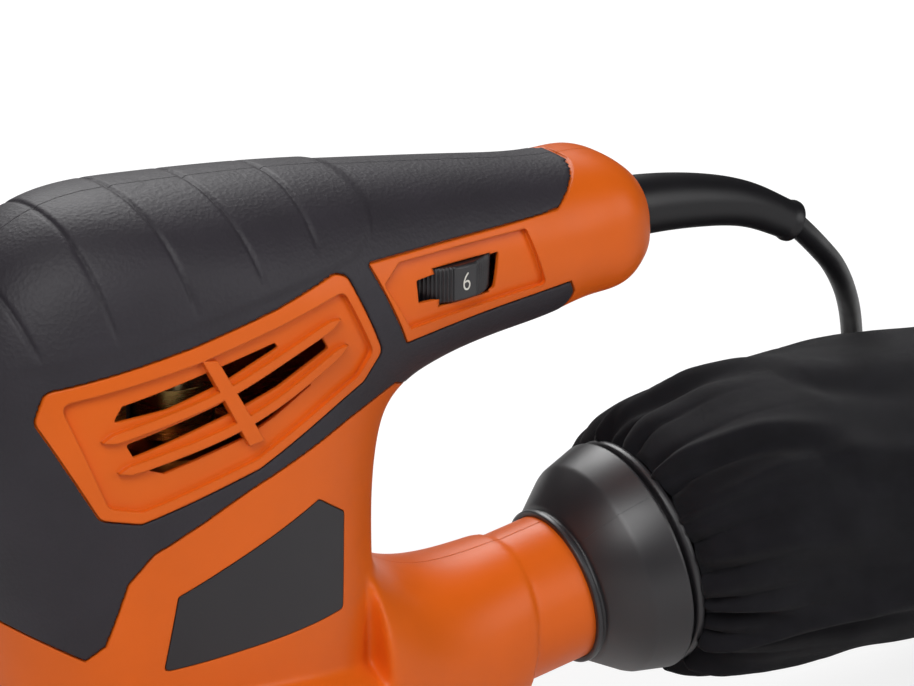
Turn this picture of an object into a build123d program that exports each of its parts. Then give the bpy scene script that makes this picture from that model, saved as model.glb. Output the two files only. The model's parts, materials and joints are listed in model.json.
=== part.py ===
from build123d import *
import os
from math import cos, pi, radians, sin, tan

# Random-orbit sander with a dust bag and a mains lead. All sizes are in millimetres.
# +Z is up, +X runs from the nose to the cord end of the handle, and -Y is the tool's left side.
# The origin is the centre of the sanding face, which stands on the floor.

# ---------------------------------------------------------------- driving dimensions
orbit_offset = 1.25          # eccentric throw: the pad's centre runs on a 2.5 mm circle
motor_x = -orbit_offset      # motor axis; the pad's own axis is X = 0 at rest
wall = 2.8                   # housing wall
grip_thickness = 0.8         # rubber overmould, over the housing's surface
grip_seat = 0.05             # play between the overmould and the housing
label_thickness = 0.6        # side plates
panel_depth = 1.5            # recess of the vent and dial panels
running_fit = 0.05           # radial play of shafts and sliding sleeves
seat_play = 0.15             # play of fixed pieces in their seats
clearance = 0.4              # play between pieces that move past each other
rib = 3.0                    # thickness of the inner ribs

# Sanding pad, from the floor up
disc_diameter = 125.0
disc_thickness = 0.8
hook_diameter = 123.0
hook_thickness = 1.4
foam_thickness = 8.8
foam_top_diameter = 110.0
plate_diameter = 104.0
plate_thickness = 3.0
plate_hub_diameter = 24.0
plate_hub_depth = 3.0
dust_hole_count = 8
dust_hole_diameter = 10.0
dust_hole_circle = 65.0
bolt_diameter = 6.0
bolt_head_diameter = 14.0
bolt_head_height = 3.2
bolt_reach = 16.0

# Eccentric drive
spindle_diameter = 12.0
spindle_flange_diameter = 17.0
spindle_flange_thickness = 2.0
pad_bearing_diameter = 28.0
pad_bearing_height = 12.0
eccentric_diameter = 46.0
eccentric_web = 3.0
eccentric_hub_diameter = 18.0
eccentric_hub_height = 2.2
counterweight_diameter = 66.0
counterweight_height = 7.0
counterweight_rise = 4.0     # above the eccentric's underside
dust_fan_diameter = 92.0
dust_fan_inner_diameter = 70.0
dust_fan_blades = 12
dust_fan_disc = 1.6
dust_fan_depth = 11.0
blade_thickness = 1.6

# Motor
shaft_diameter = 10.0
shaft_top_diameter = 8.0
lower_bearing_diameter = 26.0
lower_bearing_height = 8.0
bearing_plate_level = 34.0
bearing_plate_thickness = 4.0
bearing_plate_diameter = 104.0
bearing_hub_diameter = 34.0
cooling_fan_level = 50.0
cooling_fan_diameter = 58.0
cooling_fan_height = 10.0
cooling_fan_blades = 11
fan_hub_diameter = 18.0
stator_level = 70.0
stator_height = 36.0
stator_diameter = 56.0
air_gap = 0.6
armature_diameter = 31.0
armature_slots = 12
armature_slot_diameter = 3.0
end_winding_height = 6.0
stator_winding_inner_diameter = 35.0
stator_winding_outer_diameter = 52.0
armature_winding_diameter = 27.0
commutator_gap = 2.0
commutator_diameter = 22.0
commutator_height = 12.0
upper_bearing_level = 131.0
upper_bearing_diameter = 22.0
upper_bearing_height = 7.0
brush_width = 6.0
brush_height = 7.0
brush_length = 13.0
brush_spring_length = 8.0
spring_wire = 0.6
holder_wall = 1.6
holder_start = 2.0           # gap from the commutator to the brush holder

# Skirt round the pad
skirt_bottom = 16.0
skirt_radius = 60.0
seal_width = 2.6
seal_height = 8.0
seal_gap = 0.6

# Dust outlet, an upward sloping tube
tube_diameter = 37.0
tube_wall = 2.8
tube_tilt = 10.25
lip_x = 104.6                # where the bag adapter's lip stands on the tube
lip_z = 49.6
tube_insertion = 18.0        # length of tube inside the adapter
tube_root = 34.0             # length of tube from the lip back into the fairing

# Bag adapter: lengths from its lip along the tube, and radii
lip_width = 1.6
cone_start = 3.2
cone_end = 12.0
band_end = 21.5
clamp_start = 23.2
clamp_end = 27.0
sleeve_end = 38.0
lip_radius = 20.6
groove_radius = 19.9
cone_radius = 27.0
band_radius = 30.0
clamp_radius = 29.0
sleeve_radius = 24.0
adapter_wall = 2.4
stop_width = 2.0

# Speed dial, a thumbwheel on an upright pin
dial_x = 61.5
dial_y = -11.0
dial_bottom = 139.6
dial_diameter = 30.0
dial_height = 8.6
dial_pin_diameter = 4.0
dial_ridges = 30
dial_ridge_diameter = 1.2
control_diameter = 16.0
control_height = 6.0
board_thickness = 1.6

# Rocker switch in the nose
switch_z = 125.0
switch_front = -58.5
switch_depth = 18.0
switch_width = 21.0
switch_height = 24.0
bezel_width = 24.0
bezel_height = 28.0
bezel_thickness = 3.0
switch_reach = 10.0            # how far the switch opening is cut each way from its seat
rocker_width = 16.0
rocker_length = 21.0
rocker_pivot_depth = -1.5    # in front of the switch's front face
rocker_pin_diameter = 2.4
rocker_tilt = 8.0

# Cord
cord_diameter = 5.8
cord_level = 144.3           # height of the cord inside the handle
boot_diameter = 15.0
boot_end_diameter = 9.6
boot_flange_diameter = 20.0
boot_flange_thickness = 2.7
end_wall = 6.8
coil_mean_diameter = 60.0
coil_layers = 3
coil_turns_beside = 3
coil_x = 205.0
coil_y = 112.0
plug_width = 35.0
plug_thickness = 13.7
plug_length = 34.0
plug_relief_length = 14.0
pin_diameter = 4.0
pin_length = 19.0
pin_spacing = 18.6

clamp_screw_radius = 1.2
clamp_screw_y = 6.2
clamp_screw_hole = 6.0       # depth of the clamp screws' holes in the ribs

# Terminal block, its wires and the speed control's board
wire_diameter = 2.2
terminal_x = 84.0
terminal_length = 8.0
terminal_bottom = 139.0
board_length = 27.0

# Cuts through the housing
column_clearance_x = 53.0    # the fairing's hollow starts behind this place
plate_clearance_x = 58.0     # and behind this one above the bearing plate
side_cut = -15.0             # slots are cut from the side in to this place
groove_opening = 28.0        # half width of the bearing ribs' opening towards the outlet

# Screws that join the two housing halves: places of their bosses in X and Z
boss_places = [(-40, 58), (38, 58), (38, 90), (-46, 104), (-40, 150), (38, 152), (88, 131)]
boss_diameter = 9.0
screw_diameter = 3.0
screw_head_diameter = 6.0
screw_head_height = 2.5
screw_tip_y = -12.0
screw_length = 26.0

# Levels that follow from the sizes above
foam_bottom = disc_thickness + hook_thickness
plate_bottom = foam_bottom + foam_thickness
plate_top = plate_bottom + plate_thickness
flange_top = plate_top + spindle_flange_thickness
eccentric_bottom = flange_top + clearance
pad_bearing_top = eccentric_bottom + pad_bearing_height
eccentric_top = pad_bearing_top + eccentric_web
shaft_bottom = pad_bearing_top + clearance
lower_bearing_level = bearing_plate_level + rib
stator_top = stator_level + stator_height
commutator_level = stator_top + end_winding_height + commutator_gap
commutator_top = commutator_level + commutator_height
brush_level = commutator_level + commutator_height / 2
shaft_step = upper_bearing_level - rib
shaft_top = upper_bearing_level + upper_bearing_height
skirt_inner_radius = skirt_radius - wall
tube_radius = tube_diameter / 2
motor_axis = Pos(motor_x, 0, 0)
far = 400.0
ring_parts = (0, 0.2, 0.5, 0.8, 1)     # shares of a half outline's length where its faces meet


os.makedirs("parts", exist_ok=True)


# ---------------------------------------------------------------- helpers
def save(shape, name, color):
    """Write one sub-part to parts/NAME.step, as a plain compound of its solids."""
    piece = Compound(list(shape.solids()))
    piece.label = name
    piece.color = Color(color)
    export_step(piece, os.path.join("parts", name + ".step"))


def cylinder(radius, bottom, top, x=0.0, y=0.0):
    """Upright cylinder between two levels."""
    return Pos(x, y, (bottom + top) / 2) * Cylinder(radius, top - bottom)


def ring(outer_radius, inner_radius, bottom, top, x=0.0, y=0.0):
    """Upright tube between two levels."""
    return cylinder(outer_radius, bottom, top, x, y) - cylinder(inner_radius, bottom, top, x, y)


def box(x0, x1, y0, y1, z0, z1):
    """Box between two corners."""
    return Pos((x0 + x1) / 2, (y0 + y1) / 2, (z0 + z1) / 2) * Box(x1 - x0, y1 - y0, z1 - z0)


def left_half(shape):
    """The part of a shape on the left of the middle plane."""
    return shape & box(-far, far, -far, 0, -far, far)


def cross_prism(points, radius=0.0):
    """Prism right across the tool, from an outline in X and Z, with its corners rounded."""
    outline = make_face(Polyline([(x, 0, z) for x, z in points], close=True))
    if radius:
        outline = fillet(outline.vertices(), radius)
    return extrude(outline, far / 2, both=True)


def half_ring(middle, along, half_length, half_width, power):
    """Left half of a rounded-box outline: half_length lies along the given direction."""
    points = []
    count = 14
    for step in range(count + 1):
        reach_share = cos(pi * step / count)
        side_share = sin(pi * step / count) if 0 < step < count else 0
        share = (abs(reach_share) ** power + side_share**power) ** (-1 / power)
        side = Vector(0, half_width * share * side_share, 0)
        points.append(middle + along * (half_length * share * reach_share) - side)
    ends = [Vector(0, -pi * half_width, 0), Vector(0, pi * half_width, 0)]
    steps = [step / count for step in range(count + 1)]
    curve = Edge.make_spline(points, tangents=ends, parameters=steps, scale=False)
    return Wire([curve.trim(start, end) for start, end in zip(ring_parts, ring_parts[1:])])


def half_loft(rings):
    """Left half of a smooth solid through half outlines, closed on the middle plane."""
    sides = Shell.make_loft(rings).faces()
    chords = [Edge.make_line(ring @ 0, ring @ 1) for ring in (rings[0], rings[-1])]
    caps = [make_face([*ring.edges(), chord]) for ring, chord in zip((rings[0], rings[-1]), chords)]
    lengthwise = [edge for edge in sides.edges() if abs((edge @ 0.5).Y) < 0.001]
    middle = make_face([*lengthwise, *chords])
    return Solid(Shell([*sides, middle, *[cap.faces()[0] for cap in caps]]))


def along_outlet(distance, rise=0.0):
    """Point in the middle plane, by its distance along the outlet from the adapter's lip."""
    tilt = radians(tube_tilt)
    return Vector(
        lip_x + distance * cos(tilt) - rise * sin(tilt),
        0,
        lip_z + distance * sin(tilt) + rise * cos(tilt),
    )


def outlet_turned(profile):
    """Solid of revolution about the outlet's axis, from a profile of distances and radii."""
    face = make_face(Polyline([(distance, radius) for distance, radius in profile], close=True))
    solid = revolve(face, Axis.X)
    lip = along_outlet(0)
    return Pos(lip.X, lip.Y, lip.Z) * Rot(0, -tube_tilt, 0) * solid


# ---------------------------------------------------------------- outer form
# Sections across the body, from the skirt up the column, round the nose and along the handle:
# the inner point and the outer point in the middle plane, the half width and the squareness.
body_sections = [
    ((46.6, 62), (-51.5, 62), 36, 2.4),
    ((46.6, 80), (-54.5, 82), 35.7, 2.4),
    ((47.3, 95), (-59, 104), 34.8, 2.4),
    ((49.6, 107.5), (-61.5, 129), 34, 2.4),
    ((53, 113.4), (-55.5, 154), 33.4, 2.35),
    ((58, 117), (-35.5, 170.6), 32.6, 2.3),
    ((64, 119.2), (-8, 172.8), 31, 2.25),
    ((72, 120.8), (24, 170.8), 28, 2.2),
    ((84, 122.4), (54, 167.4), 24.8, 2.2),
    ((98, 124.4), (82, 163.6), 22.2, 2.25),
    ((109, 126.6), (104, 161.4), 20.8, 2.3),
    ((117, 128.9), (116, 159.8), 19.4, 2.5),
    ((121.8, 132.2), (121.4, 156), 15.5, 2.4),
]
handle_end = body_sections[-1][0][0]


def body_form(inset=0.0):
    """Left half of the column, nose and handle, drawn in by an inset all round."""
    rings = []
    for inner, outer, half_width, power in body_sections:
        start = Vector(inner[0], 0, inner[1])
        end = Vector(outer[0], 0, outer[1])
        along = (start - end).normalized()
        half_length = (end - start).length / 2 - inset
        rings.append(half_ring((start + end) / 2, along, half_length, half_width - inset, power))
    upper = half_loft(rings)
    foot = upper.faces().sort_by(Axis.Z)[0]
    depth = body_sections[0][0][1] - skirt_bottom + inset
    return upper + extrude(foot, depth, dir=(0, 0, -1))


def skirt_form(inset=0.0):
    """Left half of the round skirt over the pad, with its hollow flare up to the column."""
    flare = [
        (skirt_radius - inset, 33.0 - inset),
        (skirt_radius - 2.5 - inset, 41.0 - inset),
        (skirt_radius - 9.0 - inset, 50.0 - inset),
        (skirt_radius - 19.0 - inset, 58.0 - inset),
        (skirt_radius - 30.0 - inset, 64.0 - inset),
    ]
    curve = Spline(*[(radius, 0, level) for radius, level in flare])
    straight = Polyline(
        (flare[-1][0], 0, flare[-1][1]),
        (0, 0, flare[-1][1]),
        (0, 0, skirt_bottom - inset),
        (flare[0][0], 0, skirt_bottom - inset),
        (flare[0][0], 0, flare[0][1]),
    )
    face = make_face([*straight.edges(), *curve.edges()])
    return left_half(motor_axis * revolve(face, Axis.Z))


# Fairing of the dust outlet: X, underside, top, half width
fairing_sections = [
    (38.0, 16.0, 84.0, 34.0),
    (50.0, 16.0, 71.5, 31.0),
    (60.0, 16.0, 66.0, 27.5),
    (72.0, 18.5, 64.4, 23.5),
    (88.0, 25.0, 65.8, 19.6),
]


def fairing_form(inset=0.0):
    """Left half of the duct between the skirt and the outlet tube."""
    rings = []
    for x, bottom, top, half_width in fairing_sections:
        middle = Vector(x, 0, (bottom + top) / 2)
        half_height = (top - bottom) / 2 - inset
        rings.append(half_ring(middle, Vector(0, 0, -1), half_height, half_width - inset, 2.3))
    return half_loft(rings)


def outlet_bar(radius, start, end):
    """Round bar along the outlet's axis."""
    return outlet_turned([(start, 0), (start, radius), (end, radius), (end, 0)])


# ---------------------------------------------------------------- outlines on the tool's sides, in X and Z
grip_outline = [
    (60, 106), (97.5, 106), (97.5, 133.5), (95.5, 136.6), (68, 134.6), (46, 133), (36, 154),
    (76, 154.1), (93, 154.4), (96.5, 156.3), (104.5, 161.3), (106, 185), (-80, 185), (-80, 92),
    (-52, 81.5), (-38.5, 74), (-34.5, 77.5), (-29.5, 92), (-23.5, 98.2), (1, 108.7), (29.8, 118.2),
    (46, 122), (53, 118.5),
]
vent_outline = [
    (-45, 138), (-47.5, 131.5), (-35, 108), (-26, 106), (4, 113.3), (34, 126.5), (38.5, 133),
    (29.5, 152.5), (26.5, 153.5), (10, 149), (-11, 144.3),
]
vent_recess = [
    (-42.5, 135.4), (-33.2, 110.4), (-25.6, 108.6), (3.5, 115.4), (32.2, 128.2), (36, 133.6),
    (28.2, 149.6), (10, 145.2), (-11, 140.6),
]
slot_rows = [
    [(-31, 129.6), (-28.6, 133.3), (-8, 137.7), (9.5, 141.3), (10.5, 139.9), (-4, 134.3), (-18, 130.8)],
    [(-28.3, 124.4), (-5.6, 129.7), (8, 134.5), (21.9, 140.4), (24, 136.8), (10, 130.5), (-1.9, 127), (-26.6, 121)],
    [(-24.2, 117.9), (-0.5, 122.8), (9, 125.5), (19.4, 130.1), (18.9, 129), (9, 123.9), (1.2, 120.6), (-19.6, 116.2)],
]
fin_lines = [
    [(-33.9, 125.8), (-18.9, 129), (-3.2, 132.6), (12.3, 138.2), (26.8, 143.6)],
    [(-30.6, 118.2), (-17.7, 120.6), (-0.5, 124.2), (12, 128.6), (28.7, 137)],
]
fin_thickness = 2.2
cross_rib = [(-9.7, 141), (-5.9, 140.4), (5.3, 119.6), (1.4, 119)]
label_outline = [(-18, 87.1), (20.2, 101.5), (28.2, 96), (26.6, 73.2), (-21.8, 69.8)]
dial_recess = [(39.7, 148.5), (44.8, 152.4), (82.5, 152.3), (87.7, 138), (46.9, 136.4)]
dial_slot = [(49.8, 146.9), (74.5, 148.4), (72.9, 139.9), (50, 141.5)]


# ---------------------------------------------------------------- housing, left half first
def fin_prism(line):
    """Slat of the vent: a thin band that runs out to a point at both ends."""
    lower = [(x, 0, z - (fin_thickness / 2 if 0 < i < len(line) - 1 else 0)) for i, (x, z) in enumerate(line)]
    upper = [(x, 0, z + (fin_thickness / 2 if 0 < i < len(line) - 1 else 0)) for i, (x, z) in enumerate(line)]
    face = make_face([*Spline(*lower).edges(), *Spline(*upper).edges()])
    return extrude(face, far / 2, both=True)


def vent_slats():
    """Fins and cross rib that stand in the vent's recess."""
    return [cross_prism(cross_rib), *[fin_prism(line) for line in fin_lines]]


def motor_supports(room):
    """Inner ribs, seats and bosses of one housing half, trimmed to the room that it has."""
    height = rib
    supports = []
    stator_seat = cylinder(stator_diameter / 2 + seat_play, 0, far, motor_x)
    for level in (stator_level + rib, stator_top - 2 * rib):
        supports.append(box(-far, far, -far, 0, level, level + height) - stator_seat)
    seat = box(motor_x - 15, motor_x + 15, -15, 0, shaft_step, shaft_top + 2)
    seat += box(motor_x - rib / 2, motor_x + rib / 2, -far, 0, upper_bearing_level, shaft_top)
    seat -= cylinder(upper_bearing_diameter / 2 + seat_play, upper_bearing_level, shaft_top + seat_play, motor_x)
    seat -= cylinder(upper_bearing_diameter / 2 - rib, 0, upper_bearing_level, motor_x)
    supports.append(seat)
    holder_half = brush_width / 2 + holder_wall + seat_play
    for side in (-1, 1):
        start = motor_x + side * (commutator_diameter / 2 + holder_start + brush_length)
        web = box(min(start, start + side * rib), max(start, start + side * rib), -far, 0,
                  brush_level - 7, brush_level + 7)
        tall = brush_height / 2 + holder_wall + seat_play
        web -= box(-far, far, -holder_half, holder_half, brush_level - tall, brush_level + tall)
        supports.append(web)
    for x, z in boss_places:
        supports.append(Pos(x, -far / 4, z) * Rot(90, 0, 0) * Cylinder(boss_diameter / 2, far / 2))
    supports.append(box(clamp_x, clamp_x + 2 * rib, -far, 0, 0, cord_level - cord_diameter / 2))
    supports.append(box(terminal_x - rib, terminal_x + terminal_length, -far, 0, 0, terminal_bottom))
    supports.append(box(dial_x - board_length / 2, dial_x + board_length / 2, -far, -rib, 0, board_bottom))
    return supports[0].fuse(*supports[1:]) & room


def bearing_grooves():
    """Ring ribs that hold the bearing plate between the halves, open towards the outlet."""
    inner = dust_fan_diameter / 2 + 2
    rings = ring(skirt_radius - 2, inner, bearing_plate_level - rib, bearing_plate_level, motor_x)
    above = bearing_plate_level + bearing_plate_thickness
    rings += ring(skirt_radius - 4, inner, above, above + rib / 2, motor_x)
    rings -= box(0, far, -groove_opening, groove_opening, 0, far)
    return left_half(rings)


clamp_x = handle_end - end_wall - 3 * rib - boot_flange_thickness
board_bottom = dial_bottom - clearance - control_height - board_thickness

inner_body = body_form(wall)
room = body_form(wall / 2)
outlet_bar_half = left_half(outlet_bar(tube_radius, -tube_root, tube_insertion))

body_cavity = inner_body - box(handle_end - end_wall, far, -far, far, 100, far)
outlet_cavity = fairing_form(wall) - box(-far, column_clearance_x, -far, far, -far, far)
outlet_cavity -= box(-far, plate_clearance_x, -far, far, bearing_plate_level, far)
outlet_cavity += left_half(outlet_bar(tube_radius - tube_wall, -tube_root, tube_insertion + 1))
cavity = body_cavity + skirt_form(wall) + outlet_cavity
shell = body_form() + skirt_form() + fairing_form() + outlet_bar_half - cavity
shell = shell.fuse(motor_supports(room), bearing_grooves())

side_band = box(-far, far, -far, side_cut, 0, far)
slots = [(cross_prism(row) & side_band).cut(*vent_slats()) for row in slot_rows]
neck_hole = left_half(
    Pos(handle_end, 0, cord_level) * Rot(0, 90, 0) * Cylinder(boot_diameter / 2 + seat_play, 2 * end_wall + 2)
)
switch_hole = box(switch_front - switch_reach, switch_front + switch_reach, -bezel_width / 2 - seat_play, 0,
                  switch_z - bezel_height / 2 - seat_play, switch_z + bezel_height / 2 + seat_play)
clamp_pilots = [cylinder(clamp_screw_radius, cord_level - clamp_screw_hole, cord_level, clamp_x + rib, -clamp_screw_y)]
for tool in (neck_hole, switch_hole, clamp_pilots[0]):
    shell = shell.cut(tool)
shell = shell.cut(*slots)
shell = shell.cut(left_half(cross_prism(vent_recess, 2.5)).cut(body_form(panel_depth), *vent_slats()))
shell = shell.cut(left_half(cross_prism(dial_recess, 1.0)).cut(body_form(panel_depth)))
shell = shell.cut(left_half(cross_prism(label_outline)).cut(body_form(label_thickness)))
label = (body_form() & cross_prism(label_outline)).cut(body_form(label_thickness))
grip_region = left_half(cross_prism(grip_outline).cut(cross_prism(vent_outline, 3.0), switch_hole))
grip = (body_form(-grip_thickness) & grip_region).cut(body_form(-grip_seat))

housing_right = mirror(shell, Plane.XZ)
grip_right = mirror(grip, Plane.XZ)
label_right = mirror(label, Plane.XZ)
head_y = screw_tip_y + screw_length
bores = []
for x, z in boss_places:
    across = Pos(x, 0, z) * Rot(90, 0, 0)
    bores.append(across * Cylinder(screw_diameter / 2 + 2 * seat_play, 2 * far))
    bores.append(Pos(x, head_y + far / 2, z) * Rot(90, 0, 0) * Cylinder(screw_head_diameter / 2 + clearance, far))
housing_right = housing_right.cut(*bores)
grip_right = grip_right.cut(*bores[1::2])

dial_room = cylinder(dial_diameter / 2 + clearance, dial_bottom - clearance, dial_bottom + dial_height + clearance,
                     dial_x, dial_y)
pilots = [
    Pos(x, screw_tip_y / 2, z) * Rot(90, 0, 0) * Cylinder(screw_diameter / 2, -screw_tip_y)
    for x, z in boss_places
]
shell = shell.cut(dial_room, cross_prism(dial_slot) & side_band, *pilots)
save(shell, "housing_left", "orange")
save(housing_right, "housing_right", "orange")
save(grip, "grip_left", "black")
save(grip_right, "grip_right", "black")
save(label, "label_left", "gray")
save(label_right, "label_right", "gray")


# ---------------------------------------------------------------- fixed pieces inside the housing
def turned(x, z, radius, y0, y1):
    """Bar across the tool, between two Y places."""
    return Pos(x, (y0 + y1) / 2, z) * Rot(90, 0, 0) * Cylinder(radius, y1 - y0)


def housing_screws():
    """Screws that join the halves, driven from the right."""
    screws = []
    for x, z in boss_places:
        screw = turned(x, z, screw_diameter / 2, screw_tip_y, head_y)
        head = turned(x, z, screw_head_diameter / 2, head_y, head_y + screw_head_height)
        socket = turned(x, z, screw_diameter / 2, head_y + screw_head_height / 2, head_y + screw_head_height)
        screws.append(screw + head - socket)
    return Compound(screws)


def bearing(bore_diameter, outer_diameter, bottom, height, x):
    """Ball bearing as one closed ring, with a shallow groove in each face for its shields."""
    outer_radius = outer_diameter / 2
    inner_radius = bore_diameter / 2 + running_fit
    body_ring = ring(outer_radius, inner_radius, bottom, bottom + height, x)
    step = (outer_radius - inner_radius) / 4
    groove = ring(outer_radius - step, inner_radius + step, bottom - 1, bottom + 0.4, x)
    return body_ring - groove - Pos(0, 0, height + 0.6) * groove


def bearing_plate():
    """Plate between the motor and the dust fan, with the seat of the lower bearing."""
    top = bearing_plate_level + bearing_plate_thickness
    plate = cylinder(bearing_plate_diameter / 2, bearing_plate_level, top, motor_x)
    plate += cylinder(bearing_hub_diameter / 2, bearing_plate_level, lower_bearing_level + lower_bearing_height, motor_x)
    seat = lower_bearing_diameter / 2 + seat_play
    plate -= cylinder(seat, lower_bearing_level, far, motor_x)
    return plate - cylinder(seat - rib, 0, far, motor_x)


def stator_core():
    """Laminated field with two flats and the air gap round the armature."""
    core = ring(stator_diameter / 2, armature_diameter / 2 + air_gap, stator_level, stator_top, motor_x)
    flat = stator_diameter / 2 - 1.5
    return core - box(-far, far, flat, far, 0, far) - box(-far, far, -far, -flat, 0, far)


def stator_windings():
    """Field windings where they stand out above and below the core."""
    inner, outer_radius = stator_winding_inner_diameter / 2, stator_winding_outer_diameter / 2
    above = ring(outer_radius, inner, stator_top, stator_top + end_winding_height, motor_x)
    below = ring(outer_radius, inner, stator_level - end_winding_height, stator_level, motor_x)
    return Compound([fillet(coil.edges(), 1.5) for coil in (above, below)])


def brush_parts():
    """Holder, brush and spring on each side of the commutator."""
    holders, brushes, springs = [], [], []
    start = commutator_diameter / 2
    length = brush_length + brush_spring_length
    half_width, half_height = brush_width / 2, brush_height / 2
    for side in (-1, 1):
        def span(near, distance, wide, high):
            ends = sorted((motor_x + side * near, motor_x + side * (near + distance)))
            return box(*ends, -wide, wide, brush_level - high, brush_level + high)
        sleeve = span(start + holder_start, length - holder_start + holder_wall, half_width + holder_wall,
                      half_height + holder_wall)
        sleeve -= span(start, length, half_width + running_fit, half_height + running_fit)
        holders.append(sleeve)
        brush = span(start + running_fit, brush_length, half_width, half_height)
        brushes.append(brush - cylinder(start + running_fit, 0, far, motor_x))
        coil = Pos(motor_x + side * (start + brush_length + brush_spring_length / 2), 0, brush_level)
        radius = half_width - clearance
        tube = Cylinder(radius, brush_spring_length - 4 * running_fit)
        springs.append(coil * Rot(0, 90, 0) * (tube - Cylinder(radius - spring_wire, brush_spring_length)))
    return Compound(holders), Compound(brushes), Compound(springs)


def switch_body():
    """Switch in the nose, with a pocket and two bores for the rocker."""
    half_width, half_height = switch_width / 2, switch_height / 2
    body_box = box(switch_front, switch_front + switch_depth, -half_width, half_width,
                   switch_z - half_height, switch_z + half_height)
    pocket_half = rocker_width / 2 + clearance
    body_box -= box(switch_front, switch_front + switch_depth / 2, -pocket_half, pocket_half,
                    switch_z - half_height + 0.6, switch_z + half_height - 0.6)
    return body_box


def switch_bezel():
    """Frame that covers the edge of the switch opening and carries the rocker's pins."""
    half_width, half_height = bezel_width / 2, bezel_height / 2
    frame = box(switch_front - bezel_thickness, switch_front, -half_width, half_width,
                switch_z - half_height, switch_z + half_height)
    pocket_half = rocker_width / 2 + clearance
    window = switch_height / 2 - 0.6
    frame -= box(-far, switch_front, -pocket_half, pocket_half, switch_z - window, switch_z + window)
    pivot_x = switch_front + rocker_pivot_depth
    return frame - turned(pivot_x, switch_z, rocker_pin_diameter / 2 + running_fit, -10.2, 10.2)


def switch_rocker():
    """Rocker with a hollow front face, resting tipped to off."""
    half = rocker_length / 2
    outline = [(-4.2, half - 0.3), (-3.0, 0), (-4.2, 0.3 - half), (-1.0, -half), (4, -4), (4, 4), (-1.0, half)]
    face = make_face(Polyline([(x, 0, z) for x, z in outline], close=True))
    rocker = extrude(face, rocker_width / 2, both=True)
    rocker += turned(0, 0, rocker_pin_diameter / 2, -10, 10)
    return Pos(switch_front + rocker_pivot_depth, 0, switch_z) * Rot(0, rocker_tilt, 0) * rocker


def speed_dial():
    """Thumbwheel with a ridged rim."""
    wheel = cylinder(dial_diameter / 2, dial_bottom, dial_bottom + dial_height, dial_x, dial_y)
    wheel = fillet(wheel.edges(), 0.5)
    notches = []
    for step in range(dial_ridges):
        angle = 2 * pi * step / dial_ridges
        x = dial_x + dial_diameter / 2 * cos(angle)
        y = dial_y + dial_diameter / 2 * sin(angle)
        notches.append(cylinder(dial_ridge_diameter / 2, 0, far, x, y))
    bore = cylinder(dial_pin_diameter / 2 + running_fit, 0, far, dial_x, dial_y)
    return wheel.cut(bore, *notches)


def speed_control():
    """Regulator under the dial, with the dial's pin."""
    base_top = dial_bottom - clearance
    pot = cylinder(control_diameter / 2, base_top - control_height, base_top, dial_x, dial_y)
    return pot + cylinder(dial_pin_diameter / 2, base_top, dial_bottom + dial_height - 0.6, dial_x, dial_y)


def speed_board():
    """Circuit board under the regulator."""
    top = board_bottom + board_thickness
    return box(dial_x - board_length / 2, dial_x + board_length / 2, dial_y - 6, dial_y + 8, board_bottom, top)


def terminal_block():
    """Terminal block where the lead's cores end."""
    high = terminal_bottom + 10
    block = box(terminal_x, terminal_x + terminal_length, -8, 8, terminal_bottom, high)
    for y in (-5, 0, 5):
        block -= cylinder(1.2, high - 3, high, terminal_x + terminal_length / 2, y)
    return block


def supply_cable():
    """Cord inside the handle, from the boot to the terminal block."""
    length = boot_inner - terminal_x - terminal_length
    return Pos(boot_inner - length / 2, 0, cord_level) * Rot(0, 90, 0) * Cylinder(cord_diameter / 2, length)


def cord_clamp():
    """Bar that holds the cord down, and its two screws."""
    under = cord_level + cord_diameter / 2
    bar = box(clamp_x, clamp_x + 2 * rib, -9, 9, under, under + rib)
    screws = []
    for y in (-clamp_screw_y, clamp_screw_y):
        x = clamp_x + rib
        shank = cylinder(clamp_screw_radius, cord_level - 6, under + rib, x, y)
        bar -= cylinder(clamp_screw_radius, under, under + rib, x, y)
        screws.append(shank + cylinder(2.2, under + rib, under + rib + 1.6, x, y))
    return bar, Compound(screws)


def internal_leads():
    """Two leads from the terminal block over the motor to the switch."""
    leads = []
    for y in (6.4, 9.4):
        route = [
            (terminal_x, y, 144), (78, y, 144), (70, y, 152), (45, y, 161), (0, y, 163.5), (-24, y, 158),
            (-31, y, 143), (-33, y, 129), (switch_front + switch_depth, y, 129),
        ]
        path = FilletPolyline(*route, radius=[4.0] * (len(route) - 2))
        start = Plane(origin=route[0], z_dir=(-1, 0, 0))
        leads.append(sweep(start * Circle(wire_diameter / 2), path=path))
    return Compound([solid for lead in leads for solid in lead.solids()])


# ---------------------------------------------------------------- rotor
def blades(count, inner, outer_radius, bottom, top):
    """Ring of straight fan blades."""
    middle = (inner + outer_radius) / 2
    blade = Pos(middle, 0, (bottom + top) / 2) * Box(outer_radius - inner, blade_thickness, top - bottom)
    return [motor_axis * Rot(0, 0, 360 * step / count) * blade for step in range(count)]


def motor_shaft():
    """Shaft, stepped down for the upper bearing."""
    return (cylinder(shaft_diameter / 2, shaft_bottom, shaft_step, motor_x)
            + cylinder(shaft_top_diameter / 2, shaft_step, shaft_top, motor_x))


def armature_core():
    """Laminated armature with winding slots."""
    core = ring(armature_diameter / 2, shaft_diameter / 2, stator_level, stator_top, motor_x)
    slots = []
    for step in range(armature_slots):
        angle = 2 * pi * step / armature_slots
        reach = armature_diameter / 2 - armature_slot_diameter / 3
        slots.append(cylinder(armature_slot_diameter / 2, 0, far, motor_x + reach * cos(angle), reach * sin(angle)))
    return core.cut(*slots)


def armature_windings():
    """Armature windings where they stand out above and below the core."""
    outer_radius = armature_winding_diameter / 2
    above = ring(outer_radius, shaft_diameter / 2, stator_top, stator_top + end_winding_height, motor_x)
    below = ring(outer_radius, shaft_diameter / 2, stator_level - end_winding_height, stator_level, motor_x)
    return Compound([above, below])


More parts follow.
